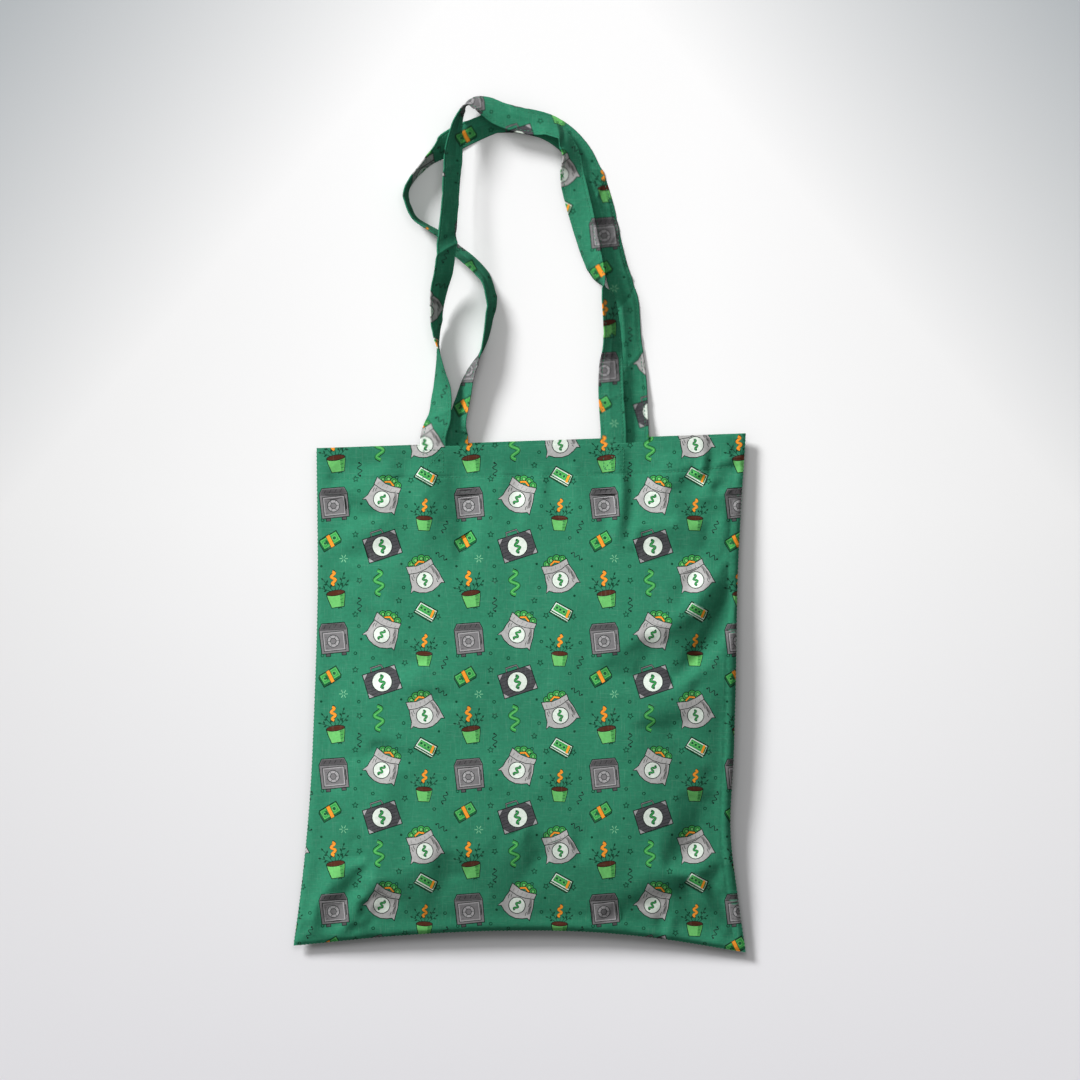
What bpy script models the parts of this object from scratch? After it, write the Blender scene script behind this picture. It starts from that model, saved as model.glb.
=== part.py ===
"""A plain cotton tote bag lying flat: two sewn panels, folded mouth hems, turned-in seams and two long strap handles.

Metres, +Z up. The origin is the middle of the resting face. +Y runs from the bottom seam to the mouth and the handles.
"""

import math

import bpy
import numpy as np

MM = 0.001

# Driving dimensions, in millimetres.
CLOTH = 0.8
PANEL_HALF_GAP = 1.3
FRONT_PUFF = 24.0
BACK_PUFF = 26.0
MOUTH_PUFF = 7.5
LAYER_GAP = 0.4
STRAP_THREAD_GAP = 0.8
STRAP_WIDTH = 22.0
STRAP_THICKNESS = 2.0
STRAP_SEGMENTS = 74
MM_PER_DEGREE = 1.5
ROOT_STEP = 3.0
PIVOT_RISE = 2.4
PIVOT_AHEAD = 1.3
ALLOWANCE = 9.5
ALLOWANCE_THICKNESS = 1.0
THREAD_RADIUS = 0.25
SEAM_THREAD_RADIUS = 0.3
FLOOR_Z = 0.4

# Silhouette: (share of the way from the bottom to the mouth, x of the edge).
LEFT_EDGE = [
    (0.0, -194.0), (0.09, -188.7), (0.29, -180.2), (0.49, -176.0), (0.70, -173.4), (1.0, -174.3),
]
RIGHT_EDGE = [
    (0.0, 190.0), (0.10, 183.6), (0.24, 176.8), (0.37, 179.4), (0.49, 181.0), (0.76, 183.6),
    (0.87, 186.2), (1.0, 190.0),
]
# (share of the way from the left to the right, y of the bottom edge).
BOTTOM_EDGE = [
    (0.0, -217.0), (0.23, -208.3), (0.46, -204.0), (0.68, -205.7), (0.81, -210.8), (1.0, -222.7),
]
# (share from the left to the right, y of each panel's mouth edge). The two meet at the side seams.
FRONT_MOUTH = [(0.0, 205.0), (0.27, 206.6), (0.5, 207.9), (0.69, 209.1), (0.86, 212.2), (1.0, 217.6)]
BACK_MOUTH = [(0.0, 205.0), (0.5, 211.3), (1.0, 217.6)]
# Height of the side seams above the floor, from the bottom to the mouth.
SIDE_HEIGHT = [(0.0, 9.0), (0.2, 16.0), (0.5, 20.0), (0.8, 16.0), (1.0, 12.0)]
# Height of the bottom seam above the floor, from the left to the right.
BOTTOM_HEIGHT = [(0.0, 9.0), (0.3, 16.0), (0.7, 16.0), (1.0, 9.0)]

# Columns and rows of both panels. The hem line and the mouth are rows.
COLUMNS = [0.0, 0.03, 0.08, 0.16, 0.25, 0.37, 0.5, 0.63, 0.75, 0.84, 0.92, 0.97, 1.0]
ROWS = [0.0, 0.03, 0.08, 0.16, 0.26, 0.38, 0.5, 0.62, 0.74, 0.85, 0.94, 0.97, 1.0]
# Where the seam allowances have their points. They stop short of the bottom corners.
SIDE_ROWS = [0.0085] + ROWS[1:]
BOTTOM_COLUMNS = [0.036] + COLUMNS[2:-2] + [0.964]

# Handle centre lines from the left root to the right root: x, y, z and roll in degrees.
# A positive roll lets the edge on the right of the way along dip.
FRONT_HANDLE_LINE = [
    (-75.5, 207.9, 17.8, 0), (-75.5, 213.0, 17.6, -3), (-73.6, 221.5, 17.0, -14), (-69.9, 232.0, 16.4, -28),
    (-68.2, 250.8, 15.0, -42), (-69.7, 271.2, 13.8, -70), (-71.8, 291.6, 13.0, -92), (-73.1, 306.0, 14.0, -108),
    (-72.0, 324.7, 17.0, -120), (-69.7, 340.9, 21.0, -130), (-66.0, 357.0, 27.5, -136), (-64.3, 372.0, 30.5, -137),
    (-63.2, 388.0, 30.0, -134), (-62.0, 405.5, 27.5, -130), (-60.4, 430.0, 25.0, -132), (-58.7, 454.8, 24.0, -134),
    (-57.0, 472.0, 24.0, -120), (-54.4, 484.5, 23.0, -108), (-49.8, 494.6, 21.5, -96), (-40.5, 498.8, 20.5, -64),
    (-29.5, 495.4, 19.5, -40), (-17.0, 489.0, 18.5, -25), (-2.0, 484.3, 18.0, -25), (12.0, 481.4, 18.0, -32),
    (25.0, 477.4, 18.2, -48), (35.0, 470.4, 18.5, -58), (40.6, 458.5, 18.5, -50), (42.6, 438.0, 17.0, -22),
    (45.0, 425.0, 16.2, 0), (49.8, 406.0, 16.0, 16), (53.0, 387.0, 16.2, 44), (56.8, 368.0, 16.6, 62),
    (60.6, 355.0, 17.0, 72), (67.0, 343.0, 17.6, 94), (72.2, 331.0, 19.2, 116), (75.6, 314.0, 19.0, 122),
    (76.4, 296.0, 17.6, 134), (75.6, 271.0, 17.6, 162), (75.8, 252.0, 17.8, 171), (77.0, 232.0, 17.9, 178),
    (77.7, 220.0, 17.8, 180), (77.8, 210.4, 17.8, 180),
]
BACK_HANDLE_LINE = [
    (-56.5, 210.3, 6.2, 0), (-56.7, 215.0, 6.5, -5), (-56.2, 223.0, 8.2, -28), (-54.2, 232.0, 9.8, -48),
    (-50.2, 246.5, 10.4, -56), (-45.0, 265.2, 11.2, -68), (-38.6, 279.6, 11.8, -82), (-34.0, 288.6, 12.0, -92),
    (-30.8, 300.0, 12.0, -100), (-27.8, 317.0, 11.9, -106), (-26.0, 331.5, 11.6, -112), (-28.8, 345.0, 11.4, -112),
    (-36.0, 356.5, 11.2, -116), (-42.6, 363.0, 11.0, -116), (-52.0, 370.6, 10.8, -116), (-61.5, 378.5, 11.2, -112),
    (-71.4, 387.6, 11.8, -102), (-80.4, 393.2, 11.9, -99), (-90.6, 400.0, 11.9, -99), (-96.8, 412.0, 11.9, -100),
    (-98.6, 424.0, 11.9, -99), (-93.4, 434.0, 11.9, -100), (-86.6, 442.0, 11.8, -103), (-78.6, 450.8, 11.2, -112),
    (-69.6, 458.6, 9.4, -132), (-61.0, 465.6, 6.6, -154), (-50.6, 471.4, 6.0, -158), (-40.0, 475.6, 6.6, -150),
    (-29.0, 479.0, 7.2, -146), (-17.0, 480.6, 5.6, -162), (-4.0, 479.4, 4.2, -170), (10.0, 477.6, 3.6, -176),
    (24.0, 473.8, 3.4, -182), (37.0, 465.6, 3.4, -186), (48.0, 455.4, 3.8, -190), (56.4, 442.0, 5.0, -198),
    (62.6, 430.0, 6.0, -204), (67.0, 416.0, 6.2, -204), (70.8, 401.0, 6.0, -203), (75.0, 381.0, 6.0, -203),
    (80.6, 362.0, 6.0, -203), (86.2, 344.0, 5.2, -199), (89.6, 328.0, 4.2, -189), (89.8, 312.0, 4.0, -187),
    (90.6, 297.0, 4.0, -185), (93.2, 280.0, 4.6, -184), (95.0, 262.0, 5.2, -184), (95.9, 240.0, 6.0, -182),
    (96.5, 226.0, 6.2, -180), (96.9, 215.7, 6.2, -180),
]

for old in list(bpy.data.objects):
    bpy.data.objects.remove(old)

bag = bpy.data.collections.new("tote_bag")
bpy.context.scene.collection.children.link(bag)


def fabric(name, color, roughness):
    """A plain cloth material."""
    material = bpy.data.materials.new(name)
    material.use_nodes = True
    shader = material.node_tree.nodes["Principled BSDF"]
    shader.inputs["Base Color"].default_value = (*color, 1.0)
    shader.inputs["Roughness"].default_value = roughness
    return material


PANEL_CLOTH = fabric("panel_cloth", (0.055, 0.235, 0.150), 0.85)
HEM_CLOTH = fabric("hem_cloth", (0.045, 0.205, 0.130), 0.85)
STRAP_CLOTH = fabric("strap_cloth", (0.050, 0.220, 0.140), 0.85)
SEWING_THREAD = fabric("sewing_thread", (0.075, 0.300, 0.200), 0.6)


def table_value(table, share):
    """A smooth curve through a table's rows, read at one share."""
    xs = np.array([row[0] for row in table])
    ys = np.array([row[1] for row in table])
    slopes = np.gradient(ys, xs)
    k = int(np.clip(np.searchsorted(xs, share) - 1, 0, len(xs) - 2))
    span = xs[k + 1] - xs[k]
    t = (share - xs[k]) / span
    return float(
        ys[k] * (1 + 2 * t) * (1 - t) ** 2
        + slopes[k] * span * t * (1 - t) ** 2
        + ys[k + 1] * t * t * (3 - 2 * t)
        + slopes[k + 1] * span * t * t * (t - 1)
    )


def plan_point(side, u, v):
    """Where a panel's point lies seen from above. u runs left to right and v bottom to mouth."""
    mouth = table_value(FRONT_MOUTH if side > 0 else BACK_MOUTH, u)
    left = table_value(LEFT_EDGE, v)
    right = table_value(RIGHT_EDGE, v)
    bottom = table_value(BOTTOM_EDGE, u)
    return left + (right - left) * u, bottom + (mouth - bottom) * v


def seam_height(u, v):
    """The height of the surface midway between the two panels."""
    corner = SIDE_HEIGHT[0][1]
    return table_value(SIDE_HEIGHT, v) + (table_value(BOTTOM_HEIGHT, u) - corner) * (1 - v) ** 3


def swell(u, v, puff):
    """How far a panel stands away from that surface: rounded at the seams, lower at the open mouth."""
    across = max(0.0, (abs(2 * u - 1) - 0.5) / 0.5)
    along = max(0.0, 1 - v / 0.35)
    fall = max(0.0, (v - 0.45) / 0.55)
    height = puff + (MOUTH_PUFF - puff) * fall * fall * (3 - 2 * fall)
    return height * (1 - across**2.4) ** 0.75 * (1 - along**2.4) ** 0.75


def node_height(side, u, v):
    """The height of a panel's middle surface at one grid node. side is 1 for the front and -1 for the back."""
    if side > 0:
        return seam_height(u, v) + PANEL_HALF_GAP + swell(u, v, FRONT_PUFF)
    return max(FLOOR_Z, seam_height(u, v) - PANEL_HALF_GAP - swell(u, v, BACK_PUFF))


def cell_of(lines, value):
    """The grid cell that a share falls in, and how far across it. Beyond the last line it runs on straight."""
    k = int(np.clip(np.searchsorted(lines, value) - 1, 0, len(lines) - 2))
    return k, (value - lines[k]) / (lines[k + 1] - lines[k])


def cloth_point(side, u, v, lift=0.0):
    """A point on a panel's faceted middle surface, raised by lift."""
    i, s = cell_of(COLUMNS, u)
    j, t = cell_of(ROWS, v)
    corners = []
    for jj in (j, j + 1):
        for ii in (i, i + 1):
            x, y = plan_point(side, COLUMNS[ii], ROWS[jj])
            corners.append((x, y, node_height(side, COLUMNS[ii], ROWS[jj])))
    low = np.array(corners[0]) * (1 - s) + np.array(corners[1]) * s
    high = np.array(corners[2]) * (1 - s) + np.array(corners[3]) * s
    point = low * (1 - t) + high * t
    return point[0], point[1], point[2] + lift


def u_at(side, x, v):
    """The share across a panel at which x is found, at one row."""
    left, right = cloth_point(side, 0.0, v)[0], cloth_point(side, 1.0, v)[0]
    return (x - left) / (right - left)


def pivot(name, location, parent=None):
    """An empty on a joint axis, at a location in metres."""
    empty = bpy.data.objects.new(name, None)
    bag.objects.link(empty)
    empty["world"] = location
    origin = parent["world"] if parent else (0.0, 0.0, 0.0)
    empty.parent = parent
    empty.location = [a - b for a, b in zip(location, origin)]
    return empty


def place(name, data, material, parent=None):
    """Links one body. Its points are world points, so a parent's location is taken off again."""
    body = bpy.data.objects.new(name, data)
    bag.objects.link(body)
    data.materials.append(material)
    if parent:
        body.parent = parent
        body.location = [-a for a in parent["world"]]
    return body


def sheet(name, rows, thickness, material, parent=None):
    """A thick sheet about rows of points in millimetres."""
    count = len(rows[0])
    points = [[c * MM for c in point] for row in rows for point in row]
    faces = []
    for j in range(len(rows) - 1):
        for i in range(count - 1):
            a = j * count + i
            faces.append((a, a + 1, a + 1 + count, a + count))
    mesh = bpy.data.meshes.new(name)
    mesh.from_pydata(points, [], faces)
    body = place(name, mesh, material, parent)
    solid = body.modifiers.new("thickness", "SOLIDIFY")
    solid.thickness = thickness * MM
    solid.offset = 0.0
    return body


def cord(name, points, radius, parent=None, closed=False):
    """A sewing thread along points in millimetres."""
    curve = bpy.data.curves.new(name, "CURVE")
    curve.dimensions = "3D"
    curve.bevel_depth = radius * MM
    curve.bevel_resolution = 0
    curve.use_fill_caps = True
    line = curve.splines.new("POLY")
    line.points.add(len(points) - 1)
    line.use_cyclic_u = closed
    for knot, point in zip(line.points, points):
        knot.co = (*[c * MM for c in point], 1.0)
    return place(name, curve, SEWING_THREAD, parent)


def smooth_line(table, count):
    """Points along a smooth curve through a table's rows, closer together where it rolls fast and at both roots."""
    rows = np.array(table, dtype=float)
    steps = np.linalg.norm(np.diff(rows[:, :3], axis=0), axis=1) + MM_PER_DEGREE * np.abs(np.diff(rows[:, 3]))
    along = np.concatenate([[0.0], np.cumsum(steps)])
    slopes = np.gradient(rows, along, axis=0)
    points = []
    even = np.linspace(ROOT_STEP * 3, along[-1] - ROOT_STEP * 3, count - 3)
    for s in (0.0, ROOT_STEP, *even, along[-1] - ROOT_STEP, along[-1]):
        k = int(np.clip(np.searchsorted(along, s) - 1, 0, len(along) - 2))
        span = along[k + 1] - along[k]
        t = (s - along[k]) / span
        points.append(
            rows[k] * (1 + 2 * t) * (1 - t) ** 2
            + slopes[k] * span * t * (1 - t) ** 2
            + rows[k + 1] * t * t * (3 - 2 * t)
            + slopes[k + 1] * span * t * t * (t - 1)
        )
    return np.array(points)


def strap(name, line, parent):
    """The free loop of a handle: a flat ribbon that rolls along its way."""
    curve = bpy.data.curves.new(name, "CURVE")
    curve.dimensions = "3D"
    curve.twist_mode = "Z_UP"
    curve.bevel_depth = STRAP_THICKNESS / 2 * MM
    curve.bevel_resolution = 0
    curve.extrude = (STRAP_WIDTH - STRAP_THICKNESS) / 2 * MM
    curve.use_fill_caps = True
    ribbon = curve.splines.new("POLY")
    ribbon.points.add(len(line) - 1)
    for knot, (x, y, z, roll) in zip(ribbon.points, line):
        knot.co = (x * MM, y * MM, z * MM, 1.0)
        knot.tilt = math.radians(90.0 + roll)
    return place(name, curve, STRAP_CLOTH, parent)


def strap_thread(name, line, face, parent):
    """The row of stitching that closes a handle, near one edge of the strap and just off one face."""
    across = STRAP_WIDTH / 2 - 3.0
    away = face * (STRAP_THICKNESS / 2 + STRAP_THREAD_GAP + THREAD_RADIUS)
    steps = np.diff(line[:, :3], axis=0)
    steps /= np.linalg.norm(steps, axis=1)[:, None]
    points = []
    for (x, y, z, roll), before, after in zip(line[1:-1], steps[:-1], steps[1:]):
        tangent = (before + after) / np.linalg.norm(before + after)
        right = np.cross(tangent, (0.0, 0.0, 1.0))
        right /= np.linalg.norm(right)
        up = np.cross(right, tangent)
        c, s = math.cos(math.radians(roll)), math.sin(math.radians(roll))
        points.append(np.array((x, y, z)) + (right * c - up * s) * across + (right * s + up * c) * away)
    return cord(name, points, THREAD_RADIUS, parent)


def panel(name, side, parent=None):
    rows = [[cloth_point(side, u, v) for u in COLUMNS] for v in ROWS]
    return sheet(name, rows, CLOTH, PANEL_CLOTH, parent)


def hem(name, side, parent=None):
    """The folded mouth edge, lying against the inside of its panel."""
    drop = -side * (CLOTH + LAYER_GAP)
    rows = [[cloth_point(side, u, v, drop) for u in COLUMNS[1:-1]] for v in ROWS[-3:]]
    return sheet(name, rows, CLOTH, HEM_CLOTH, parent)


def hem_thread(name, side, parent=None):
    """The stitch line that holds a hem, on the outside of its panel."""
    lift = side * (CLOTH / 2 + LAYER_GAP + THREAD_RADIUS)
    v = ROWS[-3] + 0.006
    return cord(name, [cloth_point(side, u, v, lift) for u in COLUMNS[1:-1]], THREAD_RADIUS, parent)


def strap_end(name, side, x, parent=None):
    """The sewn end of a handle, under the hem."""
    drop = -side * (1.5 * CLOTH + 2 * LAYER_GAP + STRAP_THICKNESS / 2)
    out = (PIVOT_AHEAD - 0.8) / 420.0
    rows = []
    for v in (ROWS[-3] - 0.006, ROWS[-3], ROWS[-2], 1.0 + out):
        us = [u_at(side, x + d, v) for d in (-STRAP_WIDTH / 2, 0.0, STRAP_WIDTH / 2)]
        rows.append([cloth_point(side, u, v, drop) for u in us])
    return sheet(name, rows, STRAP_THICKNESS, STRAP_CLOTH, parent)


def box_stitch(name, side, x, parent=None):
    """The square of stitching over a strap end, on the outside of the panel."""
    lift = side * (CLOTH / 2 + LAYER_GAP + THREAD_RADIUS)
    half = STRAP_WIDTH / 2 - 2.5
    low, high = ROWS[-3] + 0.012, 1.0 - 0.010
    corners = [(-half, low), (0.0, low), (half, low), (half, ROWS[-2]), (half, high), (0.0, high),
               (-half, high), (-half, ROWS[-2])]
    points = [cloth_point(side, u_at(side, x + d, v), v, lift) for d, v in corners]
    return cord(name, points, THREAD_RADIUS, parent, closed=True)


def side_allowance(name, edge):
    """The turned-in edges of both panels along a side seam, pressed together."""
    inward = 1 if edge == 0.0 else -1
    rows = []
    for v in SIDE_ROWS:
        x, y = plan_point(1, edge, v)
        row = []
        for d in (0.95, 0.95 + ALLOWANCE):
            row.append((x + inward * d, y, seam_height(edge + inward * d / 370.0, v)))
        rows.append(row)
    return sheet(name, rows, ALLOWANCE_THICKNESS, HEM_CLOTH)


def bottom_allowance(name):
    """The turned-in edges of both panels along the bottom seam."""
    rows = []
    for d in (0.95, 0.95 + ALLOWANCE):
        row = []
        for u in BOTTOM_COLUMNS:
            x, y = plan_point(1, u, 0.0)
            row.append((x, y + d, seam_height(u, d / 420.0)))
        rows.append(row)
    return sheet(name, rows, ALLOWANCE_THICKNESS, HEM_CLOTH)


def side_thread(name, edge):
    """The stitching of a side seam, just outside the allowance."""
    inward = 1 if edge == 0.0 else -1
    points = []
    for v in [0.004] + SIDE_ROWS[:-1] + [0.998]:
        x, y = plan_point(1, edge, v)
        points.append((x + inward * 0.35, y, seam_height(edge, v)))
    return cord(name, points, SEAM_THREAD_RADIUS)


def bottom_thread(name):
    """The stitching of the bottom seam."""
    points = []
    for u in [0.012] + BOTTOM_COLUMNS + [0.988]:
        x, y = plan_point(1, u, 0.0)
        points.append((x, y + 0.35, seam_height(u, 0.0)))
    return cord(name, points, SEAM_THREAD_RADIUS)


def handle_pivot(name, table, rise, parent=None):
    """The fold line of a handle, midway between its two roots and clear of the strap."""
    (x0, y0, z0, _), (x1, y1, z1, _) = table[0], table[-1]
    return pivot(name, ((x0 + x1) / 2 * MM, (y0 + y1) / 2 * MM, ((z0 + z1) / 2 + rise) * MM), parent)


front = pivot("mouth_open_axis", (0.0, -0.2235, 0.0095))
front_fold = handle_pivot("front_handle_axis", FRONT_HANDLE_LINE, PIVOT_RISE, front)
back_fold = handle_pivot("back_handle_axis", BACK_HANDLE_LINE, -PIVOT_RISE)

panel("front_panel", 1, front)
panel("back_panel", -1)
hem("front_hem", 1, front)
hem("back_hem", -1)
hem_thread("front_hem_thread", 1, front)
hem_thread("back_hem_thread", -1)

for label, seam_edge in (("left", 0.0), ("right", 1.0)):
    side_allowance(f"{label}_seam_allowance", seam_edge)
    side_thread(f"{label}_seam_thread", seam_edge)
bottom_allowance("bottom_seam_allowance")
bottom_thread("bottom_seam_thread")

for label, handle_side, handle_table, owner, fold in (
    ("front", 1, FRONT_HANDLE_LINE, front, front_fold),
    ("back", -1, BACK_HANDLE_LINE, None, back_fold),
):
    handle_line = smooth_line(handle_table, STRAP_SEGMENTS)
    strap(f"{label}_handle", handle_line, fold)
    strap_thread(f"{label}_handle_thread", handle_line, -handle_side, fold)
    for end, row in (("left", handle_table[0]), ("right", handle_table[-1])):
        strap_end(f"{label}_handle_end_{end}", handle_side, row[0], owner)
        box_stitch(f"{label}_box_stitch_{end}", handle_side, row[0], owner)
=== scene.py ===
"""Looks of a printed cotton tote bag that lies flat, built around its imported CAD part."""

import math

import bpy
import numpy as np
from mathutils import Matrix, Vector
from mathutils.geometry import delaunay_2d_cdt


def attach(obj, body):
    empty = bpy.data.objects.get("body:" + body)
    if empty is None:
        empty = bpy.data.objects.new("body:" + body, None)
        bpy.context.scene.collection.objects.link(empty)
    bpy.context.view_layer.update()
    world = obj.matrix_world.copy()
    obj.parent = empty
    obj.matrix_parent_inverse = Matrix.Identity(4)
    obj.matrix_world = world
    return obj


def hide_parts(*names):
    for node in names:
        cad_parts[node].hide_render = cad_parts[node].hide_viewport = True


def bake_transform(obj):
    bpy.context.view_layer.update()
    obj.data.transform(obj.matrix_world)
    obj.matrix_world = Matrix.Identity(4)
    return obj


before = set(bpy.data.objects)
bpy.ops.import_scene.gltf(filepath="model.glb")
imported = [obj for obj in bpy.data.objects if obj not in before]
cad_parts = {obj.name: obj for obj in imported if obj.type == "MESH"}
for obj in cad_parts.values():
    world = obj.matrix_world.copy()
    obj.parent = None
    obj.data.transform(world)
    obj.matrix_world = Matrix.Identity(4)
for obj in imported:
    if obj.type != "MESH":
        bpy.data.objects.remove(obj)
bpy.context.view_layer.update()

MM = 0.001

# The bag's own dimensions, in millimetres, as its CAD part has them.
CLOTH = 0.8
FRONT_PUFF = 24.0
BACK_PUFF = 26.0
MOUTH_PUFF = 7.5
STRAP_WIDTH = 22.0
STRAP_THICKNESS = 2.0
ALLOWANCE = 9.5
SIDE_ROUND = 0.36
FOOT_ROUND = 0.16
DOME = 0.32
HEM_DEPTH = 26.0
HEM_INSET = 5.0
HEM_THICKNESS = 2 * CLOTH + 0.15
HEM_FOLD_REACH = 0.45
STRAP_DROP = 3.4
STRAP_EASE = 25.0
STITCH_ROWS = (-8.4, 8.4)
SEAM_LINE_INSET = 8.0
EDGE_PUFF = 1.4
# Round sizes that turn shares of a panel into millimetres, and back.
PANEL_WIDTH = 366.0
PANEL_LENGTH = 420.0
SEAM_TO_SEAM = 370.0

# Silhouette: (share of the way from the bottom to the mouth, x of the edge).
LEFT_EDGE = [
    (0, -194), (0.09, -188.7), (0.29, -180.2), (0.49, -176), (0.70, -173.4), (1, -174.3),
]
RIGHT_EDGE = [
    (0, 190), (0.10, 183.6), (0.24, 176.8), (0.37, 179.4), (0.49, 181), (0.76, 183.6), (0.87, 186.2),
    (1, 190),
]
# (share of the way from the left to the right, y of the bottom edge).
BOTTOM_EDGE = [
    (0, -217), (0.23, -208.3), (0.46, -204), (0.68, -205.7), (0.81, -210.8), (1, -222.7),
]
# (share from the left to the right, y of each panel's mouth edge). The two meet at the side seams.
FRONT_MOUTH = [(0, 205), (0.27, 206.6), (0.5, 207.9), (0.69, 209.1), (0.86, 212.2), (1, 217.6)]
BACK_MOUTH = [(0, 205), (0.5, 211.3), (1, 217.6)]
# Height of the side seams above the floor, from the bottom to the mouth.
SIDE_HEIGHT = [(0, 9), (0.2, 16), (0.5, 20), (0.8, 16), (1, 12)]
# Height of the bottom seam above the floor, from the left to the right.
BOTTOM_HEIGHT = [(0, 9), (0.3, 16), (0.7, 16), (1, 9)]
# For each seam: the way out of the bag, and where along it its stitching and its allowance start and stop.
SEAMS = {
    "left": ((-1, 0, 0), (0.006, 0.994), (0.012, 0.994)),
    "right": ((1, 0, 0), (0.006, 0.994), (0.012, 0.994)),
    "bottom": ((0, -1, 0), (0.012, 0.988), (0.04, 0.96)),
}

# Handle centre lines from the left root to the right root: x, y, z and roll in degrees.
# A positive roll lets the edge on the right of the way along dip.
FRONT_HANDLE_LINE = [
    (-75.5, 207.9, 17.8, 0), (-75.5, 213, 17.6, -3), (-73.6, 221.5, 17, -14), (-69.9, 232, 16.4, -28),
    (-68.2, 250.8, 15, -42), (-69.7, 271.2, 13.8, -70), (-71.8, 291.6, 13, -92), (-73.1, 306, 14, -108),
    (-72, 324.7, 17, -120), (-69.7, 340.9, 21, -130), (-66, 357, 27.5, -136), (-64.3, 372, 30.5, -137),
    (-63.2, 388, 30, -134), (-62, 405.5, 27.5, -130), (-60.4, 430, 25, -132), (-58.7, 454.8, 24, -134),
    (-57, 472, 24, -120), (-54.4, 484.5, 23, -108), (-49.8, 494.6, 21.5, -96), (-40.5, 498.8, 20.5, -64),
    (-29.5, 495, 19.5, -38), (-17, 488.4, 18.5, -20), (-2, 484, 18, -8), (12, 481, 18, -26),
    (25, 477.4, 18.2, -48), (35, 470.4, 18.5, -58), (40.6, 458.5, 18.5, -50), (42.6, 438, 17, -22),
    (45, 425, 16.2, 0), (49.8, 406, 16, 14), (54.4, 387, 16.2, 30), (59.4, 368, 16.8, 42),
    (64, 355, 17.4, 56), (69.6, 343, 18.2, 90), (73.4, 331, 19.4, 122), (75.6, 314, 19, 128),
    (76.4, 296, 17.6, 134), (75.6, 271, 17.6, 162), (75.8, 252, 17.8, 171), (77, 232, 17.9, 178),
    (77.7, 220, 17.8, 180), (77.8, 210.4, 17.8, 180),
]
BACK_HANDLE_LINE = [
    (-56.5, 210.3, 6.2, 0), (-56.7, 215, 6.5, -5), (-56.2, 223, 8.2, -28), (-54.2, 232, 9.8, -48),
    (-50.2, 246.5, 10.4, -56), (-45, 265.2, 11.2, -68), (-38.6, 279.6, 11.8, -82), (-34, 288.6, 12, -92),
    (-30.8, 300, 12, -100), (-27.8, 317, 11.9, -106), (-26, 331.5, 11.6, -112), (-28.8, 345, 11.4, -112),
    (-36, 356.5, 11.2, -116), (-42.6, 363, 11, -116), (-52, 370.6, 10.8, -116),
    (-61.5, 378.5, 11.2, -112), (-71.4, 387.6, 11.8, -102), (-80.4, 393.2, 11.9, -99),
    (-90.6, 400, 11.9, -99), (-96.8, 412, 11.9, -100), (-98.6, 424, 11.9, -99), (-93.4, 434, 11.9, -100),
    (-86.6, 442, 11.8, -103), (-78.6, 450.8, 11.2, -112), (-69.6, 458.6, 9.4, -132),
    (-61, 465.6, 6.6, -154), (-50.6, 471.4, 6, -158), (-40, 475.6, 6.6, -150), (-29, 480.4, 7, -148),
    (-17, 484, 5.6, -162), (-4, 484, 4.2, -170), (10, 482, 3.6, -176), (24, 477.4, 3.4, -182),
    (37, 468.8, 3.4, -186), (48, 456.6, 3.8, -190), (56.4, 442, 5, -198), (62.6, 430, 6, -204),
    (67, 416, 6.2, -204), (70.8, 401, 6, -203), (74.6, 381, 6, -203), (79.4, 362, 6, -203),
    (84.4, 344, 5.2, -197), (88.8, 328, 4.2, -189), (89.8, 312, 4, -187), (90.6, 297, 4, -185),
    (93.2, 280, 4.6, -184), (95, 262, 5.2, -184), (95.9, 240, 6, -182), (96.5, 226, 6.2, -180),
    (96.9, 215.7, 6.2, -180),
]

# How finely things are built, in millimetres.
PANEL_GRID = 3.6
EDGE_RINGS = (0.4, 1.2, 2.6)
SEAM_LINE_RINGS = (5.3, 6.7, 8.0, 9.3, 10.7)
HEM_LINE_RINGS = (23.2, 24.7, 26.0, 27.3, 28.8)
INNER_GRID = 3.0
RIM_GRID = 0.9
STRAP_GRID = 0.62
BACK_STRAP_SAG = 0.8
SKIN_GAP = 0.3
FLOOR_GAP = 0.3
FLOOR_LOWEST = 0.25
FLOOR_REACHED = 1.6
REVERSE_DEPTH = 1.1
FOLD_STRENGTH = 1.65
STITCH_PITCH = 3.2

# The simulated sheet: its points and time, its slack, stiffness and light pressure, and what is kept of it.
DRAPE_GRID = (54, 60)
DRAPE_FRAMES = 36
DRAPE_CLOTH = {
    "quality": 6, "mass": 0.12, "tension_stiffness": 12, "compression_stiffness": 12, "shear_stiffness": 6,
    "bending_stiffness": 1.2, "shrink_min": -0.025, "use_pressure": True, "uniform_pressure_force": 1.2,
    "vertex_group_mass": "held",
}
DRAPE_BLUR = 7
DRAPE_CAP = 3.2
DETAIL_STRENGTH = 1.3

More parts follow.
